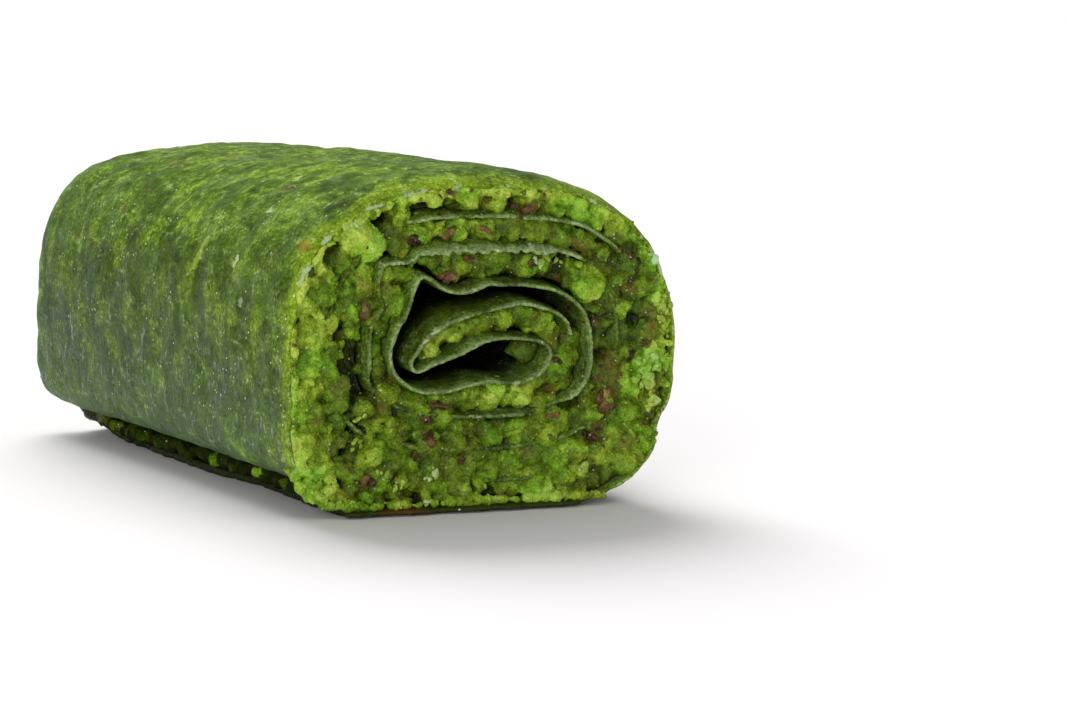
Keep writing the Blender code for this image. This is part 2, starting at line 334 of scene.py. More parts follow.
SKIN_COLUMN = 0.27       # millimetres
SKIN_ROWS = mirrored_rows([0, 0.1, 0.22, 0.4, 0.7, 1.1, 1.6], 0.62)
LUMPS_UNDER_SKIN = 0.20  # millimetres, how far the lumps beneath raise the skin
CREASES = 0.06           # millimetres, depth of the creases that run round the roll
CURL = 0.20              # millimetres, by which the cut edge curls in
BASE_REACH = 0.6         # millimetres, by which the sheet under the roll comes out at the shown cut
# Where the roll is fuller behind its middle: arc, reach along the arc, start, full and outward push
FULLER = [(30.8, 4.2, 26.0, 46.0, 1.15), (23.0, 6.0, 24.0, 40.0, 0.42)]
FULLER_FADE = 1.6        # millimetres from the back cut, over which the fullness fades
HIDDEN_END = 10.62       # quarters: up to here the skin lies inside, under the paste of the cut
HIDDEN_SHIFT = 1.2       # millimetres, how far its cut edges stand back there
FLAP_SPARE = 0.5         # millimetres of flap beyond its mean end, from which the end is drawn back
# Distance from the shown cut, and how far its end stands back there, in millimetres
FLAP_BACK = [(0, 0.3), (17.5, 0.8), (22, 0.4), (27.5, 0), (42, 0.2), (47, 1.2), (52.2, 2.4)]

outer_section = Section(quarter_points(SKIN_QUARTER, len(TURNS) - 1)
                        + [Vector((FLAP_END + step, BASE_LINE)) for step in (8, 4, 0, -FLAP_SPARE)])
hidden_arc = Section(quarter_points(SKIN_QUARTER, HIDDEN_END)).length


def in_space(a, b, c):
    """Points whose three coordinates are given, each as an array or as one number for all."""
    return np.stack(np.broadcast_arrays(a, b, c), -1).astype(float)


def skin_relief(arc, across):
    """Outward relief of the outer skin in millimetres."""
    x, z = outer_section.at(arc).T
    solid = in_space(x, across, z)
    raised = waves(solid, 2.1) * 0.6 + waves(solid + 40, 1.1) * 0.5
    creases = np.abs(waves(in_space(arc / 7 + across / 14, across / 1.1, 3.0), 1.0))
    relief = LUMPS_UNDER_SKIN * raised - CREASES * creases * 1.6
    for at, reach, start, full, push in FULLER:
        along_roll = np.clip((across - start) / (full - start), 0, 1) ** 1.5
        fading = 1 - np.exp(-(WHOLE - across) / FULLER_FADE)
        relief += push * np.exp(-((arc - at) / reach) ** 2) * along_roll * fading
    free = np.clip((z - 0.6) / 2.0, 0, 1)
    to_cut = np.minimum(across, WHOLE - across)
    return free * (relief - 0.03) - CURL * np.exp(-to_cut / 0.4) * free


def skin_edge(arc, side):
    """How far the outer skin's cut edges stand back, in millimetres."""
    spot = in_space(arc, side * 7.0, 0.0)
    worn = 0.24 * waves(spot, 2.4) + 0.20 * waves(spot, 0.7) + 0.10 * waves(spot + 20, 0.37)
    hidden = np.clip((hidden_arc - arc) / 1.5, 0, 1)
    x, z = outer_section.at(arc).T
    below = (z < BASE_LINE + 0.05) * np.clip((8.5 - x) / 1.5, 0, 1) * (side > 0)
    return 0.16 + worn + HIDDEN_SHIFT * hidden - BASE_REACH * below


def flap_end(across):
    """How far the flap's wandering end stands back, in millimetres: most near both cuts."""
    spot = in_space(across, 17.0, 0.0)
    back = np.interp(across, *np.array(FLAP_BACK).T)
    return FLAP_SPARE + back + 0.5 * waves(spot, 9.0) + 0.35 * waves(spot, 1.3)


skin = rolled_sheet("outer_skin", outer_section, SKIN_COLUMN, SKIN_ROWS, skin_relief, skin_edge, flap_end)

# Syrup-soaked dough: a translucent starch film, smooth but cooked, so it has a soft wet gloss.  The nuts
# show through it as a granular green with soft streaks and brown flecks.  Syrup dries on it as a grey haze
# with fibrous threads, mostly low on the walls, and sugar grains are painted on as groups of white dots, a
# painted highlight.  Painted shade darkens it half way up the walls, inside the roll and on its underside by
# the table.
SKIN_GREENS = ("#2f4308", "#4b690a", "#7d9c25")
SKIN_HAZE, SKIN_FIBRE, SKIN_PALE, SKIN_BIT = "#3f5138", "#8c9c8b", "#738e49", "#5f4a20"
SKIN_RIM, SKIN_FROST_HIGHLIGHT, SKIN_PAINTED_GLINT = "#86a322", "#a9bb8c", "#e6ecd2"
UNDERSIDE_SHADE = "#202309"
# Larger flecks under the skin: arc and distance from the shown cut, half length along the arc, half width,
# in millimetres, turn in degrees, colour and strength
# the near-black fleck is a pinhole in the skin, painted dark as the shade inside it
FLECKS = [
    (33.5, 12.1, 0.24, 0.70, 12, "#6e3c34", 0.8), (31.1, 33.6, 0.55, 0.28, 20, "#5e4a22", 0.7),
    (34.5, 36.8, 0.50, 0.42, 0, "#93863f", 0.7), (27.0, 17.5, 1.45, 0.42, -28, "#93b032", 0.6),
    (28.4, 22.4, 0.30, 0.26, 0, "#8cab3c", 0.7), (29.4, 11.2, 0.20, 0.17, 0, "#0b1002", 0.95),
    (35.2, 13.9, 0.22, 0.20, 0, "#bccb92", 0.8), (31.1, 10.7, 0.25, 0.22, 0, "#b4c78c", 0.8),
    (27.0, 10.7, 0.24, 0.22, 0, "#b4c78c", 0.8), (25.7, 40.8, 0.45, 0.35, 0, "#79a42f", 0.7),
    (26.0, 38.1, 0.35, 0.20, 30, "#5a4120", 0.7), (27.0, 7.2, 0.30, 0.09, 50, "#5a3520", 0.7),
    (29.1, 35.0, 0.35, 0.22, 0, "#5c4724", 0.7), (24.3, 8.5, 0.32, 0.30, 0, "#9fb18b", 0.6),
    (35.2, 5.4, 1.3, 0.7, 20, "#3a5010", 0.6), (24.0, 17.5, 1.4, 0.5, -20, "#35500f", 0.6),
    (22.6, 20.6, 1.2, 0.5, 15, "#35500f", 0.6), (19.9, 42.1, 1.1, 0.17, 8, "#a9b6a6", 0.5),
    (29.4, 1.4, 0.42, 0.85, 10, "#8c6a2c", 0.6), (37.6, 32.3, 0.5, 0.9, 10, "#5d5a20", 0.6),
    (30.5, 26.0, 1.0, 0.35, -20, "#8daa3c", 0.5), (24.8, 30.0, 1.1, 0.4, 12, "#35500f", 0.55),
    (33.0, 22.0, 0.8, 0.3, -15, "#8daa3c", 0.5), (21.5, 33.5, 0.8, 0.18, 10, "#9aa899", 0.4),
    (20.5, 27.0, 0.7, 0.16, -6, "#9aa899", 0.4), (26.5, 27.0, 1.3, 0.6, 10, "#3a5510", 0.5),
    (31.5, 18.0, 1.2, 0.5, -25, "#3a5510", 0.5), (22.0, 44.5, 1.6, 0.7, 5, "#52634a", 0.5),
    (outer_section.length - 4.9, 0.1, 1.7, 0.6, 0, "#5c3d15", 0.85),
]
# Places at the shown cut where dry sugar frosts the sheets' edges, a frost that also stands for painted
# highlights: (x, z), reach in millimetres, strength
FROST_HIGHLIGHT_SPOTS = [
    (-13.4, 16.9, 1.2, 0.6), (-12.3, 18.6, 1.3, 0.6), (-13.9, 14.6, 0.8, 0.5), (-9.2, 20.9, 1.2, 0.55),
    (-6.1, 21.8, 1.6, 0.6), (-2.5, 22.3, 1.6, 0.4), (4.6, 22.3, 1.5, 0.65), (7.6, 21.3, 1.4, 0.9),
    (9.8, 20.3, 1.0, 0.75), (12.8, 17.7, 0.9, 1.0), (14.1, 15.7, 0.8, 0.9), (-2.4, 18.9, 0.7, 1.0),
    (-1.0, 18.9, 0.8, 0.8), (1.4, 18.9, 0.9, 0.3), (3.1, 18.6, 0.8, 0.8), (4.5, 18.2, 0.6, 1.0),
    (6.6, 17.3, 0.7, 0.6), (-7.2, 16.6, 0.9, 0.8), (-5.6, 16.9, 0.9, 0.7), (-4.2, 15.3, 1.0, 0.35),
    (-4.0, 12.3, 0.35, 0.9), (4.3, 11.9, 0.8, 0.7), (2.5, 8.8, 0.5, 0.8), (3.9, 9.2, 0.7, 0.7),
    (-6.9, 19.3, 1.0, 0.45), (-8.4, 11.1, 0.8, 0.4), (4.8, 7.0, 1.2, 0.5), (-0.5, 5.9, 1.4, 0.5),
]


def near_places(points, places):
    """The strengths of places (x, z, reach, strength) that act on each (x, z) point, added up."""
    total = np.zeros(len(points))
    for x, z, reach, strength in places:
        total += strength * np.exp(-(np.hypot(points[:, 0] - x, points[:, 1] - z) / reach) ** 2)
    return total


def set_values(piece, **values):
    """Stores numbers at each vertex of a piece, by name, for its material."""
    for name, numbers in values.items():
        layer = piece.data.attributes.new(name, 'FLOAT', 'POINT')
        layer.data.foreach_set("value", np.asarray(numbers, np.float32))


def frost(sheet, share):
    """Stores how frosted each vertex of a sheet is, the frost also standing for painted highlights on the
    rims: at its edges, where the list says so or by chance.
    """
    points = coordinates(sheet) / MM
    amount = share * np.clip(waves(points * (1, 0.3, 1), 1.9) * 2.2 + 0.1, 0, 1)
    amount += (points[:, 1] < 0) * near_places(points[:, ::2], FROST_HIGHLIGHT_SPOTS)
    reach = 0.17 + 0.5 * np.clip(amount - 0.6, 0, 0.6)
    to_cut = WHOLE / 2 - np.abs(points[:, 1])
    set_values(sheet, frost=np.clip(amount, 0, 1) * np.exp(-(to_cut / reach) ** 2))


def dough_material(name, greens, haze, rim_colour, rim_reach, inside=1.0, flecks=()):
    """Syrup-soaked dough of three greens, dark to bright, with so much dried haze, its colour near a cut and
    how far in that reaches, how light it stays inside the roll under painted shade, and the larger flecks
    under it."""
    made, add, shader = new_material(name)
    place = add("TexCoord").outputs["Object"]
    spot = add("SeparateXYZ", {0: place}).outputs
    flat = add("UVMap")
    # scales are in waves to a millimetre: soft streaks of 2.5 by 4 mm, longer round the roll and a little
    # slanted, blotches of 3 mm, mottling of 0.7 mm and a granular speckle of 0.15 to 0.3 mm
    streak_way = add("Mapping", {0: flat, "Rotation": (0, 0, 0.3), "Scale": (0.24, 0.40, 1)})
    streaks = add("TexNoise", {0: streak_way, "Scale": 1.0, "Detail": 4, "Roughness": 0.6,
                               "Distortion": 0.9})
    blotches = add("TexNoise", {0: place, "Scale": 0.33 / MM, "Detail": 4, "Roughness": 0.6})
    mottle_way = add("Mapping", {0: place, "Scale": (1, 0.5, 1)})
    mottle = add("TexNoise", {0: mottle_way, "Scale": 1.5 / MM, "Detail": 4, "Roughness": 0.68})
    tone = add("Mix", {0: 0.5, 2: streaks, 3: blotches})
    tone = add("Mix", {0: 0.36, 2: tone, 3: mottle})
    body = add("ValToRGB", {0: tone}, stops=[(0.40, greens[0]), (0.495, greens[1]), (0.59, greens[2])])
    grain = add("TexNoise", {0: place, "Scale": 4.2 / MM, "Detail": 3, "Roughness": 0.85})
    speckle = add("ValToRGB", {0: grain}, stops=[(0.38, 0.4), (0.62, 1.7)])
    # where starch has dried on it the green is paler
    paleness = add("TexNoise", {0: place, "Scale": 0.29 / MM, "Detail": 4, "Roughness": 0.65})
    paler = add("MapRange", {0: paleness, 1: 0.5, 2: 0.68, 3: 0.0, 4: 0.5 * haze})
    # brown flecks of half a millimetre that show through here and there
    bits = add("TexVoronoi", {0: place, "Scale": 0.43 / MM, "Randomness": 1.0})
    bit_shape = add("Math", {0: mottle, 1: -0.9, 2: bits}, operation='MULTIPLY_ADD')
    bit_shape = add("MapRange", {0: bit_shape, 1: -0.24, 2: -0.34, 3: 0.0, 4: 0.55})
    bit_picked = add("SeparateXYZ", {0: bits.outputs["Color"]}).outputs[1]
    bit_picked = add("Math", {0: bit_picked, 1: 0.8}, operation='GREATER_THAN')
    browned = add("Math", {0: bit_shape, 1: bit_picked}, operation='MULTIPLY')
    # dried haze in patches low on the walls, higher at the far end, and the fibrous threads in it
    patch_way = add("Mapping", {0: flat, "Rotation": (0, 0, 0.1), "Scale": (0.20, 0.33, 1)})
    patches = add("TexNoise", {0: patch_way, "Scale": 1.0, "Detail": 3, "Roughness": 0.6})
    lowness = add("Math", {0: spot[1], 1: -0.13, 2: spot[2]}, operation='MULTIPLY_ADD')
    lowness = add("Math", {0: patches, 1: -0.045, 2: lowness}, operation='MULTIPLY_ADD')
    low = add("MapRange", {0: lowness, 1: -0.0045, 2: -0.018, 3: 0.0, 4: 1.0})
    fibre_way = add("Mapping", {0: flat, "Rotation": (0, 0, 0.13), "Scale": (0.75, 2.0, 1)})
    fibres = add("TexNoise", {0: fibre_way, "Scale": 1.0, "Detail": 6, "Roughness": 0.75, "Distortion": 0.4})
    hazy = add("ValToRGB", {0: fibres}, stops=[(0.36, 0.5), (0.54, 0.95)])
    hazy = add("Math", {0: low, 1: hazy}, operation='MULTIPLY')
    hazy = add("Math", {0: hazy, 1: haze}, operation='MULTIPLY')
    hazed = add("Mix", {0: 0.85, 6: SKIN_HAZE, 7: speckle}, data_type='RGBA', blend_type='MULTIPLY')
    threads = add("ValToRGB", {0: fibres}, stops=[(0.56, 0.0), (0.66, 0.85)])
    shown = add("Math", {0: low, 1: 0.85, 2: 0.10}, operation='MULTIPLY_ADD')
    threads = add("Math", {0: threads, 1: shown}, operation='MULTIPLY')
    threads = add("Math", {0: threads, 1: haze}, operation='MULTIPLY')
    # painted shade: half way up the walls no haze has dried on it, and there the dough is painted darker as
    # the shade that falls there, lighter low and high; the height is taken per 25 mm
    share_up = add("Math", {0: spot[2], 1: 40.0}, operation='MULTIPLY')
    mid_wall_shade = add("ValToRGB", {0: share_up}, stops=[(0.18, 1.16), (0.38, 0.84), (0.60, 0.79), (0.85, 0.97)])
    # painted shade: darker inside the roll, where the turns lie in shade; bright and thin near the cut
    along = add("Math", {0: spot[1]}, operation='ABSOLUTE')
    inside_shade = add("MapRange", {0: along, 1: LENGTH / 2 - 0.0045, 2: LENGTH / 2 - 0.0007, 3: inside, 4: 1.0})
    frayed = add("Math", {0: tone, 1: rim_reach * 6, 2: along}, operation='MULTIPLY_ADD')
    thin = add("MapRange", {0: frayed, 1: LENGTH / 2 + rim_reach * 1.6, 2: LENGTH / 2 + rim_reach * 3.2,
                            3: 0.0, 4: 0.8})
    bright = add("Mix", {0: 0.7, 6: rim_colour, 7: speckle}, data_type='RGBA', blend_type='MULTIPLY')
    # frost in ragged patches along the very edge, also standing for painted highlights there
    ragged = add("Math", {0: mottle, 1: 2.6, 2: -2.2}, operation='MULTIPLY_ADD')
    ragged = add("Math", {0: grain, 1: 1.8, 2: ragged}, operation='MULTIPLY_ADD')
    dry = add("Attribute", attribute_name="frost").outputs["Fac"]
    ragged = add("Math", {0: dry, 1: ragged}, operation='ADD')
    frosted = add("MapRange", {0: ragged, 1: 0.3, 2: 0.85, 3: 0.0, 4: 0.85})
    # painted shade: the underside on the table is painted dark brown, as the shade that the roll casts on it
    under = add("MapRange", {0: spot[2], 1: 0.0006, 2: 0.0012, 3: 0.9, 4: 0.0})
    layers = [(paler, SKIN_PALE, 'MIX'), (0.95, speckle, 'MULTIPLY'), (browned, SKIN_BIT, 'MIX'),
              (hazy, hazed, 'MIX'), (threads, SKIN_FIBRE, 'MIX'), (1.0, mid_wall_shade, 'MULTIPLY'),
              (1.0, inside_shade, 'MULTIPLY'), (thin, bright, 'MIX'), (frosted, SKIN_FROST_HIGHLIGHT, 'MIX'),
              (under, UNDERSIDE_SHADE, 'MIX')]
    # the larger flecks, each an ellipse with a ragged outline
    wander = add("VectorMath", {0: mottle.outputs["Color"], 1: (1.6, 1.6, 0), 2: flat},
                 operation='MULTIPLY_ADD')
    for arc, across, long, wide, turn, colour, strength in flecks:
        local = add("Mapping", {0: wander, "Location": (arc + 0.8, across + 0.8, 0),
                                "Rotation": (0, 0, math.radians(turn)), "Scale": (long, wide, 1)},
                    vector_type='TEXTURE')
        away = add("VectorMath", {0: local}, operation='LENGTH')
        layers.append((add("MapRange", {0: away, 1: 1.3, 2: 0.75, 3: 0.0, 4: strength}), colour, 'MIX'))
    # painted glints: sugar grains of a tenth of a millimetre, painted as white highlights in groups
    cells = add("TexVoronoi", {0: place, "Scale": 1.9 / MM, "Randomness": 1.0})
    near = add("MapRange", {0: cells, 1: 0.17, 2: 0.08, 3: 0.0, 4: 0.8})
    groups = add("TexNoise", {0: place, "Scale": 0.21 / MM, "Detail": 2})
    picked = add("SeparateXYZ", {0: cells.outputs["Color"]})
    picked = add("Math", {0: groups, 1: 2.2, 2: picked}, operation='MULTIPLY_ADD')
    picked = add("Math", {0: picked, 1: 1.98}, operation='GREATER_THAN')
    layers.append((add("Math", {0: near, 1: picked}, operation='MULTIPLY'), SKIN_PAINTED_GLINT, 'MIX'))
    for share, colour, way in layers:
        body = add("Mix", {0: share, 6: body, 7: colour}, data_type='RGBA', blend_type=way)
    pores = add("Bump", {"Strength": 0.45, "Distance": 0.00006, "Height": grain})
    ripples = add("Bump", {"Strength": 0.75, "Distance": 0.00025, "Height": mottle, "Normal": pores})
    wet = add("MapRange", {0: grain, 1: 0.35, 2: 0.65, 3: 0.36, 4: 0.66})
    set_inputs(shader, {"Base Color": body, "Roughness": wet, "Normal": ripples, "IOR": 1.45,
                        "Specular IOR Level": 0.07, "Subsurface Weight": 0.1,
                        "Subsurface Radius": (0.7, 1.0, 0.2), "Subsurface Scale": 0.0004})
    return made


frost(skin, 0.75)
skin.data.materials.append(dough_material("syrup-soaked dough skin", SKIN_GREENS, 1.0, SKIN_RIM, 0.0012,
                                          flecks=FLECKS))
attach(skin, "root")
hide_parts("pastry_sheet")


# ---------------------------------------------------------------------------------------------------------
# Inner turns.  The same sheet before it becomes the skin: folded back on itself at the core, then wound
# outward through the filling.  The knife left its edges finely toothed and frosted, the frost also standing
# for painted highlights; some stretches stand clear of the filling, and the rest is smeared over.  Inside
# the roll they are painted darker, as shade.
INNER_COLUMN = 0.10      # millimetres, fine enough for the teeth
INNER_ROWS = mirrored_rows([0, 0.12, 0.35, 0.8, 1.5, 2.8, 6.0], 13.4)
LAP = 0.05               # quarter turns by which the inner turns run on under the skin
# Stretches that stand clear of the filling at a cut, in quarter turns; the core comes before 0
CLEAR = [(-2.0, 1.55), (1.75, 2.12), (2.85, 3.1), (3.3, 4.5), (7.72, 8.6)]
CLEAR_FADE = 0.1         # quarter turns
# The stretch that curls toward the viewer at the shown cut, in quarter turns, and how far in millimetres
PEELED, PEELED_FADE = (3.72, 4.26), 0.06
PEELED_OUT, PEELED_DOWN = 0.25, 0.38
INNER_GREENS, INNER_RIM = ("#34450f", "#576d1d", "#748d36"), "#8ba068"

core_line = smooth_line([Vector(point) for point in CORE_FOLD] + [quarter_point(0)])
inner_section = Section(core_line[:-1] + quarter_points(0, SKIN_QUARTER + LAP))


def quarter_at(arc):
    """The place in quarter turns at these arc lengths; the core runs from -1 to 0."""
    turn_arcs = inner_section.arc[len(core_line) - 1:]
    turn_places = np.linspace(0, SKIN_QUARTER + LAP, len(turn_arcs))
    return np.interp(arc, np.append([0], turn_arcs), np.append([-1], turn_places))


def within(place, stretch, fade):
    """1 inside a stretch from start to end, 0 outside it."""
    return np.clip(np.minimum(place - stretch[0], stretch[1] - place) / fade, 0, 1)


def clearness(arc):
    """1 where an inner turn stands clear of the filling at the cut, 0 where it is smeared over."""
    return np.max([within(quarter_at(arc), stretch, CLEAR_FADE) for stretch in CLEAR], axis=0)


def inner_relief(arc, across):
    """Ripples of the inner turns and the curl of the peeled stretch, in millimetres."""
    spot = in_space(arc / 2.2, across / 3.0, 9.0)
    curl = within(quarter_at(arc), PEELED, PEELED_FADE) * np.exp(-across / 0.5)
    curl *= 0.7 + 0.6 * waves(spot * 3, 1.0)
    return 0.12 * waves(spot, 1.0) - PEELED_DOWN * curl


def inner_edge(arc, side):
    """How far the inner turns' cut edges stand back, in millimetres: more where they are smeared over."""
    spot = in_space(arc, side * 11.0, 5.0)
    clear = clearness(arc)
    smeared = 0.75 + 0.5 * waves(spot, 6.0)
    teeth = 0.07 * waves(spot, 0.55) + 0.11 * waves(spot + 30, 0.24)
    torn = 0.5 * np.clip(waves(spot + 60, 3.0) - 0.25, 0, 1)
    peeled = within(quarter_at(arc), PEELED, PEELED_FADE) * (side > 0)
    teeth += peeled * (0.22 * waves(spot + 90, 0.42) - PEELED_OUT)
    return clear * (0.12 + 0.10 * waves(spot, 4.0) + torn) + (1 - clear) * smeared + teeth


inner = rolled_sheet("inner_turns", inner_section, INNER_COLUMN, INNER_ROWS, inner_relief, inner_edge)
frost(inner, 0.35)
inner.data.materials.append(dough_material("syrup-soaked dough turns", INNER_GREENS, 0.3, INNER_RIM, 0.00035,
                                           inside=0.14))
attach(inner, "root")
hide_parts("pastry_sheet")


# ---------------------------------------------------------------------------------------------------------
# Filling.  Pistachio nuts ground coarse and bound with syrup into a moist, crumbly paste.  It was spread on
# the sheet before rolling, so it is one ribbon between the turns, and the knife tore it into lumps of 0.5 to
# 2.5 mm with pits between them.  The body runs through the roll; each cut has its own torn face.
TORN_DEPTH = 1.7         # millimetres, from a cut to the plane where the torn face joins the body
TORN_BACK = 3.0          # millimetres, to the back of the torn face's piece


def filling_slice(name, near, far):
    """A copy of the filling's solid between two places along the roll in millimetres, closed at its ends."""
    deselect()
    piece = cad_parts["pistachio_filling"].copy()
    piece.data = piece.data.copy()
    piece.name = name
    for key in list(piece.keys()):
        del piece[key]
    piece.parent = None
    piece.hide_render = piece.hide_viewport = False
    bpy.context.scene.collection.objects.link(piece)
    bpy.context.view_layer.update()
    piece.select_set(True)
    bpy.context.view_layer.objects.active = piece
    bpy.ops.object.mode_set(mode='EDIT')
    bpy.ops.mesh.select_all(action='SELECT')
    bpy.ops.mesh.remove_doubles(threshold=1e-7)
    for place, outward in ((near, -1), (far, 1)):
        bpy.ops.mesh.select_all(action='SELECT')
        bpy.ops.mesh.bisect(plane_co=(0, place * MM, 0), plane_no=(0, outward, 0), use_fill=True,
                            clear_outer=True)
    bpy.ops.object.mode_set(mode='OBJECT')
    piece.data.materials.clear()
    return piece


# Ground pistachio and syrup: soft, moist and a little translucent, so it is bright where it is thin and
# olive where it is deep; painted light makes it brighter where it stands out, and painted shade makes it
# nearly black in its pits.  Granules of 0.1 to 0.2 mm break its gloss.
PASTE_PIT_SHADE, PASTE_DEEP, PASTE_OLIVE = "#1a1f03", "#394305", "#52620b"
PASTE_GREEN, PASTE_LEAF, PASTE_BRIGHT = "#6c8515", "#8da827", "#b4ca50"
NUT_SKIN, PAINTED_WET_GLINT, GREENER = "#67491f", "#d3dfae", "#dcffe0"


def nut_material(name, stops, spread, gloss=(0.24, 0.62), shine=0.24):
    """Moist nut of the colours in stops, dark to bright by the mesh's tone, which noise shifts by spread,
    with the least and most roughness, and how much it shines."""
    made, add, shader = new_material(name)
    place = add("TexCoord").outputs["Object"]
    tone = add("Attribute", attribute_name="tone").outputs["Fac"]
    brown = add("Attribute", attribute_name="brown").outputs["Fac"]
    # scales are in waves to a millimetre: clouds of 0.9 mm and grit of 0.2 mm shift the tone
    cloud = add("TexNoise", {0: place, "Scale": 1.1 / MM, "Detail": 5, "Roughness": 0.75})
    shift = add("MapRange", {0: cloud, 1: 0.3, 2: 0.7, 3: -spread, 4: spread}, clamp=False)
    toned = add("Math", {0: tone, 1: shift}, operation='ADD')
    grit = add("TexNoise", {0: place, "Scale": 5.2 / MM, "Detail": 3, "Roughness": 0.7})
    fleck = add("MapRange", {0: grit, 1: 0.3, 2: 0.7, 3: -0.13, 4: 0.13})
    toned = add("Math", {0: toned, 1: fleck}, operation='ADD')
    body = add("ValToRGB", {0: toned}, stops=stops)
    # specks of skin of half a millimetre, most where the mesh is brown
    specks = add("TexNoise", {0: place, "Scale": 1.7 / MM, "Detail": 3})
    skins = add("Math", {0: specks, 1: 0.9, 2: -0.5}, operation='MULTIPLY_ADD')
    skins = add("Math", {0: brown, 1: skins}, operation='ADD')
    skins = add("MapRange", {0: skins, 1: 0.35, 2: 0.75, 3: 0.0, 4: 0.8})
    # stretches of 3 mm with more kernel and less skin are greener
    mixed = add("TexNoise", {0: place, "Scale": 0.36 / MM, "Detail": 3})
    mixed = add("MapRange", {0: mixed, 1: 0.44, 2: 0.60, 3: 0.0, 4: 0.9})
    # painted glints: wet points of a twentieth of a millimetre, painted as white highlights
    cells = add("TexVoronoi", {0: place, "Scale": 2.6 / MM, "Randomness": 1.0})
    near = add("MapRange", {0: cells, 1: 0.20, 2: 0.10, 3: 0.0, 4: 0.7})
    picked = add("SeparateXYZ", {0: cells.outputs["Color"]})
    picked = add("Math", {0: picked, 1: 0.78}, operation='GREATER_THAN')
    painted_glint = add("Math", {0: near, 1: picked}, operation='MULTIPLY')
    for share, colour, way in ((skins, NUT_SKIN, 'MIX'), (mixed, GREENER, 'MULTIPLY'),
                               (painted_glint, PAINTED_WET_GLINT, 'MIX')):
        body = add("Mix", {0: share, 6: body, 7: colour}, data_type='RGBA', blend_type=way)
    granules = add("TexVoronoi", {0: place, "Scale": 5.2 / MM, "Randomness": 1.0})
    fine = add("Bump", {"Strength": 0.5, "Distance": 0.00005, "Height": grit})
    rounded = add("Bump", {"Strength": 0.6, "Distance": 0.00012, "Height": granules, "Normal": fine},
                  invert=True)
    wet = add("MapRange", {0: grit, 1: 0.35, 2: 0.65, 3: gloss[0], 4: gloss[1]})
    set_inputs(shader, {"Base Color": body, "Roughness": wet, "Normal": rounded, "IOR": 1.45,
                        "Specular IOR Level": shine, "Subsurface Weight": 0.25,
                        "Subsurface Radius": (0.8, 1.0, 0.15), "Subsurface Scale": 0.0004})
    return made


paste = nut_material("ground pistachio paste",
                     [(0.0, PASTE_PIT_SHADE), (0.15, PASTE_DEEP), (0.38, PASTE_OLIVE), (0.58, PASTE_GREEN),
                      (0.78, PASTE_LEAF), (1.0, PASTE_BRIGHT)], 0.14)


def dress_filling(piece, material, tone, brown):
    """Gives a piece its material and how bright and how brown each vertex is, and makes it part of what
    stands for the CAD filling."""
    set_values(piece, tone=tone, brown=brown)
    piece.data.materials.clear()
    piece.data.materials.append(material)
    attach(piece, "root")
    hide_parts("pistachio_filling")


# painted shade: the body lies behind the torn faces and shows only deep in pits and hollows, so it is
# painted nearly black
BODY_SHADE_TONE = 0.1
body = filling_slice("filling_body", -WHOLE / 2 + TORN_DEPTH, WHOLE / 2 - TORN_DEPTH)
body_size = len(body.data.vertices)
dress_filling(body, paste, np.full(body_size, BODY_SHADE_TONE), np.zeros(body_size))


def ball(divisions):
    """Vertices and faces of a unit ball of triangles, taken from a primitive."""
    deselect()
    bpy.ops.mesh.primitive_ico_sphere_add(subdivisions=divisions, radius=1)
    made = bpy.context.object
    faces = np.array([tuple(face.vertices) for face in made.data.polygons])
    vertices = coordinates(made)
    bpy.data.objects.remove(made, do_unlink=True)
    return vertices, faces


def unit(vectors):
    """The vectors, each brought to length one."""
    return vectors / np.linalg.norm(vectors, axis=-1, keepdims=True)


def random_turns(count, draw):
    """That many random rotation matrices."""
    w, x, y, z = unit(draw.normal(size=(count, 4))).T
    return np.array([[1 - 2 * (y * y + z * z), 2 * (x * y - z * w), 2 * (x * z + y * w)],
                     [2 * (x * y + z * w), 1 - 2 * (x * x + z * z), 2 * (y * z - x * w)],
                     [2 * (x * z - y * w), 2 * (y * z + x * w), 1 - 2 * (x * x + y * y)]]).transpose(2, 0, 1)


CUT_AT, KNOB_STEP = (0.45, 0.9), 0.45   # as shares of a small piece's radius


def copies(name, shape, centres, turns, sizes, roughness, draw, cuts=0, knobs=0.0):
    """One mesh of many copies of a small shape, each cut flat by so many planes, made knobbly, roughened,
    stretched to its three sizes, turned and put in its place.  Centres and sizes are in metres."""
    vertices, faces = shape
    count = len(centres)
    shaped = np.repeat(vertices[None], count, axis=0)
    for _ in range(cuts):
        facing = unit(draw.normal(size=(count, 1, 3)))
        past = (shaped * facing).sum(axis=2, keepdims=True) - draw.uniform(*CUT_AT, (count, 1, 1))
        shaped -= np.maximum(past, 0) * facing
    if knobs:
        spots = shaped + draw.uniform(0, 90, (count, 1, 3))
        shaped *= 1 + knobs * waves(spots.reshape(-1, 3), KNOB_STEP).reshape(count, -1, 1)
    shaped *= draw.uniform(1 - roughness, 1 + roughness / 3, (count, len(vertices), 1))
    placed = np.einsum('nij,nvj->nvi', turns, shaped * sizes[:, None]) + centres[:, None]
    shift = (np.arange(count) * len(vertices))[:, None, None]
    mesh = bpy.data.meshes.new(name)
    mesh.from_pydata(placed.reshape(-1, 3), [], (faces[None] + shift).reshape(-1, faces.shape[1]))
    mesh.shade_smooth()
    piece = bpy.data.objects.new(name, mesh)
    bpy.context.scene.collection.objects.link(piece)
    return piece


def tree_of(points):
    """A tree of points in space."""
    tree = kdtree.KDTree(len(points))
    for index, point in enumerate(points):
        tree.insert(point, index)
    tree.balance()
    return tree


def nearest(points, places):
    """The index of the place nearest to each point."""
    tree = tree_of(places)
    return np.array([tree.find(point)[1] for point in points])


def at_level(spots, level):
    """(x, z) places as points in space, at this y."""
    return in_space(spots[:, 0], level, spots[:, 1])


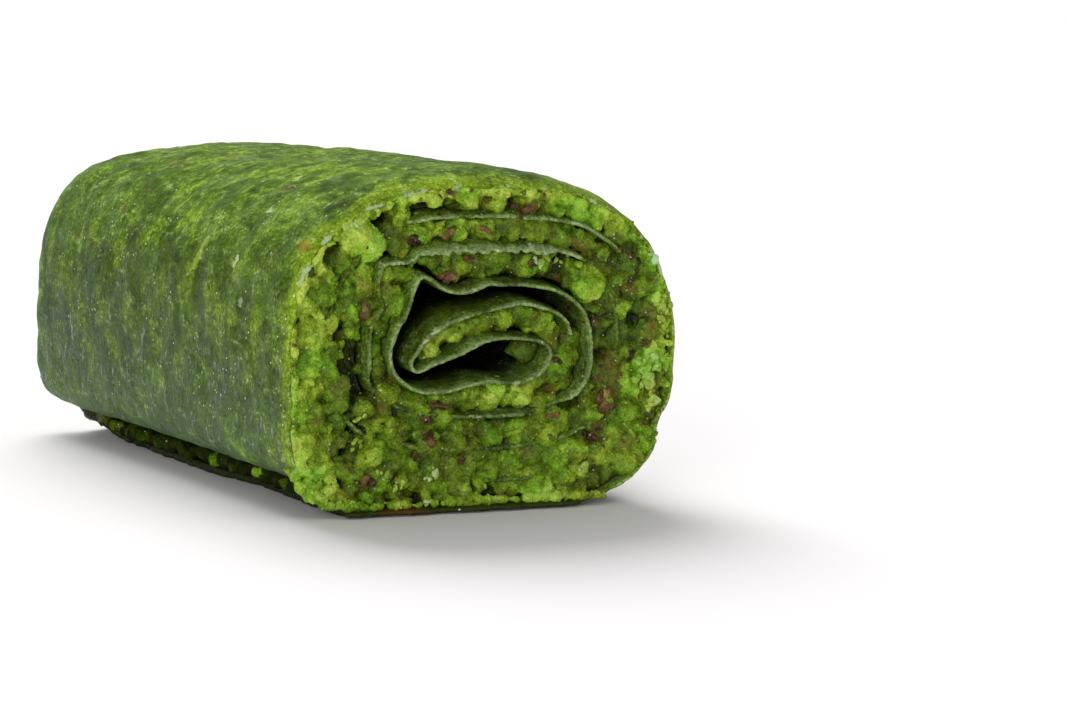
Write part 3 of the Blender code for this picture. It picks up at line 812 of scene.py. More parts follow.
def distances(tree, spots):
    """How far each (x, z) is from the nearest place of a tree."""
    return np.array([tree.find(point)[2] for point in at_level(spots, 0.0)])


TREE_STEP = 0.1          # millimetres between the places of a tree
inner_arcs = np.arange(0, inner_section.length, TREE_STEP)
inner_spots = inner_section.at(inner_arcs)
hidden_spots = outer_section.at(np.arange(0, hidden_arc, TREE_STEP))
skin_spots = outer_section.at(np.arange(hidden_arc, outer_section.length, TREE_STEP))
skin_tree = tree_of(at_level(skin_spots, 0.0))
clear_tree = tree_of(at_level(inner_spots[clearness(inner_arcs) > 0.5], 0.0))
core_tree = tree_of(at_level(inner_spots[quarter_at(inner_arcs) < CLEAR[0][1]], 0.0))
sheet_tree = tree_of(at_level(np.concatenate([inner_spots, hidden_spots]), 0.0))

# Pits at the shown cut: place, half width and half height in millimetres
PITS = [
    (-7.9, 19.2, 0.55, 1.1), (-11.3, 17.7, 0.6, 0.9), (-3.7, 20.75, 2.0, 0.3), (0.7, 1.2, 0.5, 0.35),
    (-9.3, 8.7, 1.2, 0.8), (-6.3, 6.9, 0.5, 0.4), (6.8, 7.1, 0.8, 0.4), (4.9, 7.9, 0.8, 0.3),
    (-9.9, 10.8, 0.4, 1.1), (-1.0, 2.6, 0.5, 0.3), (9.3, 10.4, 0.4, 0.4), (-10.8, 12.3, 0.35, 0.5),
    (5.6, 16.2, 0.5, 0.9), (2.2, 21.3, 0.5, 0.35), (-5.3, 4.6, 0.6, 0.3), (1.8, 4.6, 0.7, 0.25),
    (-9.6, 5.9, 0.7, 0.3), (5.2, 4.4, 0.3, 0.5), (11.6, 12.6, 0.3, 0.4), (8.4, 12.9, 0.35, 0.4),
]
# Stretches of the shown cut that are darker or brighter, partly the paste's own colour and partly painted
# shade and painted light: place, reach in millimetres, and by how much
TONE_AND_SHADE_PATCHES = [
    (-13.2, 12.0, 2.2, 0.18), (-9.4, 18.3, 1.6, 0.18), (-5.0, 21.6, 2.2, 0.05), (8.5, 19.6, 2.4, 0.05),
    (-9.9, 14.0, 1.6, -0.16), (-10.4, 11.4, 1.5, -0.02), (-6.8, 7.3, 1.2, -0.16), (-13.6, 8.0, 1.7, 0.36),
    (-13.6, 14.5, 1.4, 0.24), (-13.4, 4.8, 1.5, 0.20), (10.6, 17.4, 1.5, -0.40), (10.5, 9.4, 1.6, -0.16),
    (8.4, 7.0, 2.2, -0.10), (5.5, 5.0, 2.0, -0.12), (-6.5, 19.6, 1.6, -0.10), (-2.5, 12.3, 1.4, 0.22),
    (0.5, 4.9, 2.0, -0.10), (10.6, 14.9, 1.2, 0.08), (1.5, 20.2, 2.6, -0.10), (7.0, 17.8, 2.4, -0.10),
    (-6.5, 2.0, 2.6, 0.10), (4.0, 1.6, 3.0, 0.10), (9.0, 13.2, 2.4, -0.16), (11.6, 12.6, 1.6, -0.14),
    (-12.0, 6.2, 1.4, 0.10), (-12.8, 3.0, 2.0, 0.22), (-3.0, 10.2, 2.4, 0.22), (13.3, 9.2, 1.7, 0.34),
    (4.5, 8.6, 1.6, 0.14), (-10.7, 2.2, 1.4, 0.20), (-10.0, 7.2, 1.3, -0.16), (-8.1, 22.4, 1.6, 0.16),
    (0.0, 22.4, 1.8, 0.08), (-5.4, 4.6, 1.2, 0.12), (2.5, 2.4, 1.4, 0.08), (-9.4, 8.6, 2.0, -0.30),
    (-10.2, 5.0, 1.9, -0.46), (2.0, 4.0, 2.4, -0.04), (7.5, 12.4, 2.6, -0.10), (-3.6, 4.2, 2.0, -0.10),
    (4.8, 16.4, 1.6, -0.16), (-0.5, 1.2, 3.5, 0.05), (10.5, 3.0, 2.4, 0.04), (10.0, 11.5, 2.6, -0.12),
    (-8.8, 11.8, 1.8, -0.14), (12.4, 4.2, 1.8, 0.08), (0.0, 6.5, 3.0, 0.04),
]
# The lumps over each cut's face, and the bed behind them, which closes the gaps: radii in millimetres, least
# distance between two as a share of their radii, and how much of its radius a lump keeps away from a pit
LUMP_RADII, LUMP_SPACING, LUMP_OFF_PITS = [1.25, 1.0, 0.8, 0.6, 0.44, 0.32, 0.24], 0.66, 0.7
BED_RADII, BED_SPACING, BED_OFF_PITS = [1.0, 0.7, 0.5], 0.45, 0.4
BED_DEPTH = 1.8          # millimetres, of the bed's middles behind the cut
LUMP_TRIES = 6000
LUMPS_X, LUMPS_Z = (-15, 15), (0.3, 22.5)   # millimetres
# What a lump keeps free of the skin and of a clear sheet: millimetres, and a share of its radius more
OFF_SKIN, OFF_CLEAR = (0.10, 0.74), (0.16, 0.6)
OVER_SHEET = 0.6         # millimetres: a lump nearer to a sheet than this needs no paste behind it
# unless it would hide the sheet's low corners: lowest z, and the least x there that is a corner
CORNER_Z, CORNER_X = 3.2, 9.5
FINER_IS_DEEPER = 0.35   # the smaller the lump, the deeper it lies between the others
RIM_LUMPS = 420          # small lumps that smear over the skin's edge from inside
RIM_LUMP_RADII = (0.16, 0.46)
CURLED_OVER = 0.75       # share of them that the skin curls over low on the right
UNDER_ROLL = 24          # millimetres of the skin's section that lie under the roll, free of lumps
BASE_LUMPS = 75          # and over the sheet under the roll
BASE_LUMP_RADII, BASE_LUMP_X = (0.28, 0.46), {-1: (-10.6, 9.4), 1: (-7.8, 9.4)}
# Lumps that squeezed out past the wall at the shown cut's lower left corner: place and radius in millimetres
CORNER = [
    (-13.9, 2.9, 0.5), (-13.3, 2.1, 0.6), (-12.5, 1.55, 0.75), (-11.7, 1.1, 0.65), (-11.0, 0.75, 0.45),
    (-12.6, 2.4, 0.7), (-11.3, 1.9, 0.75), (-10.6, 1.4, 0.6),
]
CORNER_DEPTH = 0.25      # millimetres behind the cut
BROWN_LUMPS = 0.14       # share of the lumps that hold skin
CLUSTER = 16             # small lumps on each lump
SMOOTHINGS = 1           # how often the grown face is smoothed, as moist paste is
PASTY_SMOOTHINGS = 8     # and how often more in its smoothest patches
LEAST_HEIGHT = 0.00012   # metres: no paste hangs lower than this over the table
VOXELS = {-1: 0.00014, 1: 0.00017}
# How far the torn face stands back, in millimetres: everywhere, more in the core and beside its sheets, less
# at the rim, and unevenly by this much; it always stands back by the last
BACK, BACK_CORE, BACK_BESIDE, BACK_RIM, BACK_UNEVEN, BACK_LEAST = 0.26, 0.35, 0.18, 0.28, 0.35, 0.02
# The paste's tone, how much brighter its rim is on the lit top and left as painted light, and how uneven it
# is; how much darker hollows of a millimetre are, as painted shade and syrup gathered there, against their
# nearer and their wider surroundings, and the smoothest patches
TONE, TONE_LIT_RIM, TONE_UNEVEN = 0.52, 0.13, 0.28
HOLLOW_SHADE, PASTY_DARKER = (0.38, 0.18), 0.06
# painted shade: the paste is painted darker the deeper it lies in a pit, from these depths on
PIT_START, PIT_REACH = 1.15, 0.8   # millimetres behind the cut where pits get dark, and over which
HIDDEN_KEPT = 0.04       # share of the hidden back's faces that are kept
PIT_SHADE = 0.75      # how much of its tone the paste loses at the bottom of the pits
CUTS = {-1: "shown_cut", 1: "back_cut"}   # the two cuts by their side, for the names of pieces


def in_pit(spots, spare):
    """Whether each (x, z) lies in a pit of the shown cut, or within its spare millimetres of one."""
    inside = np.zeros(len(spots), bool)
    for x, z, wide, high in PITS:
        inside |= ((spots[:, 0] - x) / (wide + spare)) ** 2 + ((spots[:, 1] - z) / (high + spare)) ** 2 < 1
    return inside


def recess(spots, side):
    """How far the torn face stands behind the cut, in millimetres: flush at the rim, deep in the core."""
    away = np.hypot(spots[:, 0] / 1.3, spots[:, 1] - CENTRE_HEIGHT)
    inward = 1 - np.clip((away - 5.0) / 3.5, 0, 1)
    rim = np.exp(-distances(skin_tree, spots) / 1.2)
    beside = np.exp(-distances(core_tree, spots) / 0.8)
    uneven = BACK_UNEVEN * waves(at_level(spots, side * 9.0), 3.2)
    back = BACK + BACK_CORE * inward + BACK_BESIDE * beside - BACK_RIM * rim + uneven
    return np.maximum(back, BACK_LEAST)


def paste_tone(spots, side):
    """How bright the paste is: brightest in the band inside the rim at the top and left, painted lighter
    there as the lit side.
    """
    to_skin = distances(skin_tree, spots)
    lit_side = np.clip(0.5 + (spots[:, 1] - 9.0) / 14 - spots[:, 0] / 30, 0, 1)
    rim = np.clip(1 - (to_skin - 0.6) / 1.2, 0, 1) * lit_side
    tone = TONE + TONE_LIT_RIM * rim + TONE_UNEVEN * waves(at_level(spots, side * 21.0), 2.2)
    return tone + near_places(spots, TONE_AND_SHADE_PATCHES) * (side < 0)


def lump_places(radii_wanted, spacing, pit_share, side, slab, draw):
    """Places and radii of lumps over one cut, largest first: (x, z) in millimetres of the straight roll."""
    taken, radii = np.empty((0, 2)), np.empty(0)
    for radius in radii_wanted:
        spots = np.stack([draw.uniform(*LUMPS_X, LUMP_TRIES), draw.uniform(*LUMPS_Z, LUMP_TRIES)], -1)
        to_skin, to_clear = distances(skin_tree, spots), distances(clear_tree, spots)
        room = to_skin > OFF_SKIN[0] + OFF_SKIN[1] * radius
        room &= to_clear > OFF_CLEAR[0] + OFF_CLEAR[1] * radius
        if side < 0:
            room &= ~in_pit(spots, radius * pit_share)
        over_sheet = (distances(sheet_tree, spots) < OVER_SHEET) & (to_clear > OVER_SHEET)
        over_sheet &= (spots[:, 1] > CORNER_Z) | (np.abs(spots[:, 0]) < CORNER_X)
        placed = bent(in_space(spots[:, 0] * MM, side * LENGTH / 2, spots[:, 1] * MM))
        for index in np.flatnonzero(room):
            spot = spots[index]
            apart = np.all(np.hypot(*(taken - spot).T) > spacing * (radii + radius))
            start = (placed[index][0], side * LENGTH, placed[index][2])
            if apart and (over_sheet[index] or slab.ray_cast(start, (0, -side, 0))[0]):
                taken = np.append(taken, [spot], axis=0)
                radii = np.append(radii, radius)
    return taken, radii


GRID_STEP = 0.1          # millimetres, of the grid on which the face's depth is smoothed
GRID_SIZE = (330, 250)


def smoothed(values, known, reach):
    """Values on the grid, averaged over a reach in millimetres where they are known."""
    steps = np.arange(-round(3 * reach / GRID_STEP), round(3 * reach / GRID_STEP) + 1)
    weights = np.exp(-(steps * GRID_STEP / reach) ** 2 / 2)
    layers = []
    for layer in (np.where(known, values, 0), known.astype(float)):
        for axis in (0, 1):
            layer = np.apply_along_axis(np.convolve, axis, layer, weights, 'same')
        layers.append(layer)
    return layers[0] / np.maximum(layers[1], 1e-6)


def hollowness(points, depth):
    """How far each point lies behind the face round it, in millimetres: against the nearer and the
    wider surroundings.  Depth is how far each lies behind the cut."""
    column = np.clip(((points[:, 0] / MM + 16.5) / GRID_STEP).astype(int), 0, GRID_SIZE[0] - 1)
    row = np.clip((points[:, 2] / MM / GRID_STEP).astype(int), 0, GRID_SIZE[1] - 1)
    front = np.full(GRID_SIZE, np.inf)
    np.minimum.at(front, (column, row), depth)
    known = front < TORN_DEPTH + 0.3
    return [depth - smoothed(front, known, reach)[column, row] for reach in (0.3, 1.1)]


def pastiness(points):
    """1 in the patches that the syrup and the knife have smoothed, 0 where the paste is crumbly."""
    return np.clip(0.5 + waves(points * (1, 0.3, 1) + 7, 2.6) * 5, 0, 1)


# Pieces of kernel that the grinding only broke, 1 to 3.5 mm long, that stand in the shown cut's paste:
# place, half length and half width in millimetres, turn in degrees, tone and brown
KERNELS = [
    (-9.1, 18.6, 1.75, 1.3, -35, 0.88, 0.0), (2.9, 13.4, 1.5, 0.85, -25, 0.42, 0.0),
    (8.0, 15.1, 1.25, 1.15, 30, 0.68, 0.0), (-6.3, 14.0, 0.95, 0.55, 75, 0.62, 0.1),
    (-11.9, 14.7, 0.85, 0.55, -15, 0.58, 0.0), (-13.0, 12.9, 0.75, 0.6, 80, 0.72, 0.0),
    (5.2, 5.0, 0.85, 0.8, 10, 0.70, 0.0), (-3.9, 21.0, 0.75, 0.6, 60, 0.66, 0.0),
    (0.8, 20.9, 0.9, 0.6, 70, 0.64, 0.0), (5.7, 9.9, 0.8, 0.5, 20, 0.78, 0.0),
    (-9.0, 7.2, 0.75, 0.65, 0, 0.5, 0.3), (7.6, 2.3, 0.9, 0.5, -20, 0.72, 0.0),
    (-4.9, 19.0, 0.9, 0.45, 20, 0.55, 0.2), (10.9, 13.4, 0.7, 0.6, 40, 0.6, 0.0),
    (-1.6, 16.6, 0.6, 0.5, 0, 0.62, 0.0), (3.2, 16.2, 0.75, 0.6, 15, 0.55, 0.0),
    (-8.6, 3.9, 1.3, 1.0, 30, 0.62, 0.1), (1.0, 4.8, 0.9, 0.7, 0, 0.6, 0.0),
    (-1.5, 2.9, 1.1, 0.7, 10, 0.5, 0.25), (11.3, 6.0, 1.0, 0.8, 60, 0.55, 0.0),
    (13.1, 10.7, 0.6, 0.42, 75, 1.15, 0.0), (12.8, 9.4, 0.75, 0.5, 50, 1.12, 0.0),
    (13.2, 8.3, 0.62, 0.42, 100, 1.15, 0.0), (12.1, 9.9, 0.4, 0.32, 10, 0.92, 0.0),
    (6.3, 3.9, 0.7, 0.3, 20, 1.0, 0.0), (13.6, 14.2, 0.6, 0.45, 80, 0.96, 0.0),
    (-10.6, 9.0, 0.8, 0.6, 80, 0.34, 0.5), (9.6, 7.3, 0.85, 0.7, 70, 0.45, 0.75),
    (-2.9, 6.7, 0.8, 0.35, -10, 0.4, 0.7), (3.3, 20.6, 0.7, 0.5, 70, 0.42, 0.7),
    (-2.6, 18.9, 0.65, 0.35, 40, 0.45, 0.7), (-8.7, 13.7, 0.75, 0.4, 80, 0.5, 0.65),
    (8.8, 5.2, 0.65, 0.5, 80, 0.3, 0.6), (-8.9, 1.9, 0.9, 0.35, -5, 0.35, 0.6),
]
KERNEL_DEPTH = 0.55      # millimetres, of their middles behind the cut where the paste is flush


def stand(rows, side):
    """Centres, turns and half sizes, in metres, of the rows' pieces of kernel standing in a cut's paste."""
    x, z, length, width, turn = np.array(rows)[:, :5].T
    spots = np.stack([x, z], -1)
    depths = KERNEL_DEPTH + recess(spots, side) * 0.8
    radians = np.radians(turn)
    along = in_space(np.cos(radians), 0.0, np.sin(radians))
    outward = np.tile((0.0, float(side), 0.0), (len(x), 1))
    turns = np.stack([along, np.cross(outward, along), outward], -1)
    centres = bent(at_level(spots, side * (WHOLE / 2 - depths)) * MM)
    return centres, turns, np.stack([length, width, width * 0.9], -1) * MM


def all_lumps(side, slab, draw):
    """Places, radii and depths behind the cut, in millimetres, of the lumps over one cut: those of its face,
    the bed behind them, and those over the skin's edge and over the sheet under the roll."""
    spots, radii = lump_places(LUMP_RADII, LUMP_SPACING, LUMP_OFF_PITS, side, slab, draw)
    depths = recess(spots, side) + draw.uniform(0, 0.3, len(spots)) + radii * 0.8
    depths += (LUMP_RADII[0] - radii) * FINER_IS_DEEPER
    bed, bed_radii = lump_places(BED_RADII, BED_SPACING, BED_OFF_PITS, side, slab, draw)
    bed_depths = BED_DEPTH + draw.uniform(-0.1, 0.3, len(bed))
    corner = np.array(CORNER if side < 0 else []).reshape(-1, 3)
    arc = draw.uniform(hidden_arc - 3, outer_section.length - UNDER_ROLL, RIM_LUMPS)
    rim_radii = draw.uniform(*RIM_LUMP_RADII, RIM_LUMPS)
    inward = 0.12 + rim_radii * 0.85 + draw.uniform(0, 0.35, RIM_LUMPS) ** 2
    rim = outer_section.at(arc) - outer_section.normal(arc) * inward[:, None]
    stays = (rim[:, 0] < 10.5) | (rim[:, 1] > 13) | (draw.uniform(0, 1, RIM_LUMPS) > CURLED_OVER)
    rim, rim_radii = rim[stays], rim_radii[stays]
    base_radii = draw.uniform(*BASE_LUMP_RADII, BASE_LUMPS)
    base = np.stack([draw.uniform(*BASE_LUMP_X[side], BASE_LUMPS), 0.3 + base_radii], -1)
    rim_depths = rim_radii * 0.75 + draw.uniform(0, 0.45, len(rim))
    base_depths = base_radii * 0.7 + draw.uniform(-0.2, 0.15, BASE_LUMPS)
    return (np.concatenate([spots, bed, corner[:, :2], rim, base]),
            np.concatenate([radii, bed_radii, corner[:, 2], rim_radii, base_radii]),
            np.concatenate([depths, bed_depths, CORNER_DEPTH + corner[:, 2], rim_depths, base_depths]))


# Granules raised along the paste's surface: height and step in millimetres, and the noise's shift
RAISED = [(0.050, 0.42, 0), (0.045, 0.9, 50)]


def grow_together(slab, pieces, voxel):
    """Makes one skin of a slab and small pieces, softened as moist paste is, with granules along it."""
    deselect()
    for piece in [slab] + pieces:
        piece.select_set(True)
    bpy.context.view_layer.objects.active = slab
    bpy.ops.object.join()
    apply_modifier(slab, "Grown together", 'REMESH', mode='VOXEL', voxel_size=voxel)
    apply_modifier(slab, "Moist", 'SMOOTH', iterations=SMOOTHINGS)
    pasty = slab.vertex_groups.new(name="pasty")
    pasty.add(np.flatnonzero(pastiness(coordinates(slab) / MM) > 0.5).tolist(), 1.0, 'REPLACE')
    apply_modifier(slab, "Smeared", 'SMOOTH', vertex_group=pasty.name, iterations=PASTY_SMOOTHINGS)
    points = coordinates(slab)
    normals = np.empty(len(points) * 3, np.float32)
    slab.data.vertices.foreach_get("normal", normals)
    raised = sum(height * waves(points / MM + shift, step) for height, step, shift in RAISED)
    points += normals.reshape(-1, 3) * raised[:, None] * MM
    points[:, 2] = np.maximum(points[:, 2], LEAST_HEIGHT)
    place_vertices(slab, points)


def thin_back(slab, side):
    """Leaves few faces in the back of a torn face's piece, which lies hidden in the body."""
    behind = side * coordinates(slab)[:, 1] < LENGTH / 2 - (TORN_DEPTH + 0.15) * MM
    hidden = slab.vertex_groups.new(name="hidden")
    hidden.add(np.flatnonzero(behind).tolist(), 1.0, 'REPLACE')
    apply_modifier(slab, "Plain back", 'DECIMATE', vertex_group=hidden.name,
                   ratio=1 - behind.mean() * (1 - HIDDEN_KEPT))


def torn_face(side, seed):
    """The torn face of the filling at one cut: clusters of lumps grown together with a slab of paste."""
    draw = np.random.default_rng(seed)
    ends = sorted((side * (WHOLE / 2 - TORN_DEPTH), side * (WHOLE / 2 - TORN_BACK)))
    slab = filling_slice("filling_" + CUTS[side], *ends)
    bpy.context.view_layer.update()
    spots, radii, depths = all_lumps(side, slab, draw)
    count = len(spots)
    centres = at_level(spots, side * (WHOLE / 2 - depths))
    tones = paste_tone(spots, side) + draw.normal(0, 0.07, count)
    browns = (draw.uniform(0, 1, count) < BROWN_LUMPS) * draw.uniform(0.3, 0.7, count)
    # each lump is a core with smaller lumps over its front
    ways = draw.normal(size=(count, CLUSTER, 3))
    ways[..., 1] = side * np.abs(ways[..., 1]) * 0.8
    small = radii[:, None] * draw.uniform(0.18, 0.46, (count, CLUSTER))
    around = centres[:, None] + unit(ways) * (radii[:, None] * 0.92 - small * 0.72)[..., None]
    all_radii = np.concatenate([radii * 0.85, small.ravel()])
    all_tones = np.concatenate([tones, np.repeat(tones, CLUSTER) + draw.normal(0, 0.05, small.size)])
    all_browns = np.concatenate([browns, np.repeat(browns, CLUSTER)])
    sizes = all_radii[:, None] * draw.uniform(0.7, 1.35, (len(all_radii), 3)) * MM
    turns = random_turns(len(sizes), draw)
    placed = bent(np.concatenate([centres, around.reshape(-1, 3)]) * MM)
    pieces = [copies("lumps", ball(3), placed[:count], turns[:count], sizes[:count], 0.05, draw, 6, 0.22),
              copies("knobs", ball(2), placed[count:], turns[count:], sizes[count:], 0.16, draw, 4)]
    if side < 0:
        stood = stand(KERNELS, side)
        pieces.append(copies("kernels", ball(4), *stood, 0.02, draw, 6, 0.2))
    grow_together(slab, pieces, VOXELS[side])
    thin_back(slab, side)
    # tones of the nearest lumps, painted darker in every hollow as shade and where syrup gathers, and
    # painted nearly black in the pits as shade
    points = coordinates(slab)
    lump = nearest(points, placed)
    tone, brown = all_tones[lump], all_browns[lump]
    if side < 0:
        for row, centre, turned, size in zip(KERNELS, *stood):
            inside = np.linalg.norm((points - centre) @ turned / size, axis=1) < 1.08
            tone[inside], brown[inside] = row[5], row[6]
    depth = (LENGTH / 2 - side * points[:, 1]) / MM
    close, wide = hollowness(points, depth)
    tone -= HOLLOW_SHADE[0] * np.clip(close, -0.25, 0.7) + HOLLOW_SHADE[1] * np.clip(wide, -0.6, 1.0)
    tone -= PASTY_DARKER * pastiness(points / MM)
    tone *= 1 - PIT_SHADE * np.clip((depth - PIT_START) / PIT_REACH, 0, 1)
    slab.data.shade_smooth()
    dress_filling(slab, paste, tone, brown)
    return slab


torn_faces = {side: torn_face(side, seed) for side, seed in ((-1, 21), (1, 22))}


# ---------------------------------------------------------------------------------------------------------
# Granules of the paste.  The finest of the ground nut, 0.1 to 0.25 mm, stuck all over both torn faces, and
# crumbs of 0.15 to 0.5 mm that the knife dragged over the skin's edge.
GRANULES = {-1: 8800, 1: 5200}
GRANULE_SIZE = (0.05, 0.125)   # millimetres, radius
GRANULE_DEEPEST = 1.5          # millimetres behind the cut
RIM_CRUMBS = 420
RIM_CRUMB_SIZE = (0.08, 0.22)  # millimetres, radius
RIM_CRUMB_IN = (0.05, 0.5)     # millimetres inward from the middle of the sheet


def surface_places(side, count, deepest, draw):
    """Random places on a torn face: point, outward normal, and the tone and brown there."""
    mesh = torn_faces[side].data
    points = coordinates(torn_faces[side])
    mesh.calc_loop_triangles()
    corners = np.empty(len(mesh.loop_triangles) * 3, np.int32)
    mesh.loop_triangles.foreach_get("vertices", corners)
    corners = corners.reshape(-1, 3)
    a, b, c = points[corners].transpose(1, 0, 2)
    crossed = np.cross(b - a, c - a)
    area = np.linalg.norm(crossed, axis=1)
    normal = crossed / np.maximum(area, 1e-12)[:, None]
    shown = (side * normal[:, 1] > 0.1) & (side * a[:, 1] > LENGTH / 2 - deepest * MM)
    chosen = draw.choice(len(area), count, p=area * shown / (area * shown).sum())
    shares = draw.dirichlet((1, 1, 1), count)
    found = [np.einsum('nk,nkj->nj', shares, points[corners[chosen]]), normal[chosen]]
    for name in ("tone", "brown"):
        values = np.empty(len(points), np.float32)
        mesh.attributes[name].data.foreach_get("value", values)
        found.append(values[corners[chosen, 0]])
    return found


def repeated(shape, values):
    """One value for each vertex of the copies of a shape."""
    return np.repeat(values, len(shape[0]))


grain_shape, skin_shape, kernel_shape = ball(1), ball(2), ball(3)
for side, cut in CUTS.items():
    draw = np.random.default_rng(31 + side)
    spots, outward, tones, browns = surface_places(side, GRANULES[side], GRANULE_DEEPEST, draw)
    radii = draw.uniform(*GRANULE_SIZE, (len(spots), 1)) * MM
    granules = copies("granules_" + cut, grain_shape, spots - outward * radii * 0.3,
                      random_turns(len(spots), draw), radii * draw.uniform(0.75, 1.25, (len(spots), 3)),
                      0.2, draw)
    tones = tones + draw.normal(0.04, 0.08, len(tones))
    dress_filling(granules, paste, repeated(grain_shape, tones), repeated(grain_shape, browns))

for side, cut in CUTS.items():
    draw = np.random.default_rng(36 + side)
    arc = draw.uniform(hidden_arc, outer_section.length - UNDER_ROLL, RIM_CRUMBS)
    spot = in_space(arc, side * 13.0, 0.0)
    arc = arc[waves(spot, 1.7) + 0.5 * waves(spot + 9, 0.6) > -0.12]
    count = len(arc)
    radii = draw.uniform(*RIM_CRUMB_SIZE, count)
    inward = draw.uniform(*RIM_CRUMB_IN, count) + radii * 0.5
    places = outer_section.at(arc) - outer_section.normal(arc) * inward[:, None]
    depth = draw.uniform(0.0, 0.4, count) + radii * 0.6
    straight = at_level(places, side * (WHOLE / 2 - depth)) * MM
    crumbs = copies("rim_crumbs_" + cut, skin_shape, bent(straight), random_turns(count, draw),
                    radii[:, None] * draw.uniform(0.7, 1.2, (count, 3)) * MM, 0.16, draw, 4, 0.3)
    tones = paste_tone(places, side) + draw.normal(0.02, 0.06, count)
    dress_filling(crumbs, paste, repeated(skin_shape, tones), repeated(skin_shape, np.zeros(count)))


# ---------------------------------------------------------------------------------------------------------
# Smaller pieces of kernel.  Chopped pieces of 0.6 to 1.2 mm with flat breaks, greener and smoother than the
# paste, held in it at both cuts, and a larger one caught in the right end of the core's hollow.
# The caught one's x, z, half length and half width in millimetres, and how far it lies behind the cut
HOLLOW_KERNEL = (3.7, 10.7, 1.25, 1.0, 2.2)
LOOSE_KERNELS = 40       # at each cut, at random
LOOSE_SIZE = (0.28, 0.62)


def depth_at(side, spots):
    """How far behind the cut the torn face lies at each (x, z) in millimetres, also where it is open."""
    found = []
    for x, z in spots:
        hit, point, _, _ = torn_faces[side].ray_cast((x * MM, side * LENGTH, z * MM), (0, -side, 0))
        found.append((LENGTH / 2 - side * point.y) / MM if hit else TORN_DEPTH)
    return np.array(found)


def frames(outward, along):
    """Rotation matrices that turn X to the way along and Z outward."""
    outward = unit(outward)
    along = unit(along - (along * outward).sum(axis=1, keepdims=True) * outward)
    return np.stack([along, np.cross(outward, along), outward], -1)


def broken_up(rows, parts, draw):
    """Each row's piece as so many smaller crumbs within its outline."""
    rows = np.repeat(np.array(rows, float), parts, axis=0)
    count = len(rows)
    turn = np.radians(rows[:, 4])
    off = draw.uniform(-0.8, 0.8, (count, 2)) * rows[:, 2:4]
    rows[:, 0] += off[:, 0] * np.cos(turn) - off[:, 1] * np.sin(turn)
    rows[:, 1] += off[:, 0] * np.sin(turn) + off[:, 1] * np.cos(turn)
    rows[:, 2] *= draw.uniform(0.3, 0.72, count)
    rows[:, 3] = rows[:, 2] * draw.uniform(0.55, 1.0, count)
    rows[:, 4] = draw.uniform(0, 180, count)
    rows[:, 5] *= draw.uniform(0.6, 1.1, count)
    rows[:, 6] += draw.normal(0, 0.12, count)
    return rows


def stuck_pieces(name, side, rows, thickness, shape, material, draw, cuts, knobs, loose, loose_size,
                 slimness, loose_tone, loose_brown=0.0):
    """Pieces held in a torn face: those of the rows where they are, and loose ones at random.  Thickness
    is their half depth as a share of their half width, and slimness the loose ones' half width as a share
    of their half length."""
    rows = np.array(rows).reshape(-1, 8)
    x, z, length, width, turn, out, tone, brown = rows.T
    depth = depth_at(side, rows[:, :2]) + width * thickness - out
    depth = np.maximum(depth, width * thickness * 0.6)
    centres = in_space(x, side * (WHOLE / 2 - depth), z) * MM
    radians = np.radians(turn)
    along = in_space(np.cos(radians), draw.normal(0, 0.15, len(x)), np.sin(radians))
    outward = in_space(draw.normal(0, 0.2, len(x)), side, draw.normal(0, 0.2, len(x)))
    spots, normals, _, _ = surface_places(side, loose, 1.2, draw)
    more = draw.uniform(*loose_size, loose)
    slim = more * draw.uniform(*slimness, loose)
    centres = np.concatenate([centres, spots - normals * (slim * thickness * 0.3)[:, None] * MM])
    along = np.concatenate([along, draw.normal(size=(loose, 3))])
    outward = np.concatenate([outward, normals + draw.normal(0, 0.3, (loose, 3))])
    length, width = np.append(length, more), np.append(width, slim)
    sizes = np.stack([length, width, width * thickness], -1) * MM
    piece = copies(name + CUTS[side], shape, centres, frames(outward, along), sizes, 0.12, draw, cuts, knobs)
    tones = np.append(tone, draw.normal(*loose_tone, loose))
    browns = np.append(brown, (draw.uniform(0, 1, loose) < loose_brown) * 0.6)
    dress_filling(piece, material, repeated(shape, tones), repeated(shape, browns))


# Kernel: the same nut in one piece, dense and oily, so its breaks are greener and a little smoother than the
# paste.
kernel_meat = nut_material("chopped pistachio kernel",
                           [(0.0, PASTE_PIT_SHADE), (0.2, "#31440a"), (0.4, "#4a6412"), (0.6, "#688219"),
                            (0.8, "#8ca62c"), (1.0, "#b1c74c")], 0.14, (0.24, 0.55))
for side in CUTS:
    stuck_pieces("kernels_", side, [], 0.8, kernel_shape, kernel_meat, np.random.default_rng(41 + side),
                 6, 0.22, LOOSE_KERNELS, LOOSE_SIZE, (0.55, 1.0), (0.58, 0.12), 0.1)

draw = np.random.default_rng(47)
x, z, length, width, depth = HOLLOW_KERNEL
caught = copies("kernel_in_hollow", kernel_shape, np.array([[x, depth - WHOLE / 2, z]]) * MM,
                random_turns(1, draw), np.array([[length, width, width]]) * MM, 0.04, draw, 4, 0.15)
dress_filling(caught, kernel_meat, repeated(kernel_shape, [0.36]), repeated(kernel_shape, [0.45]))


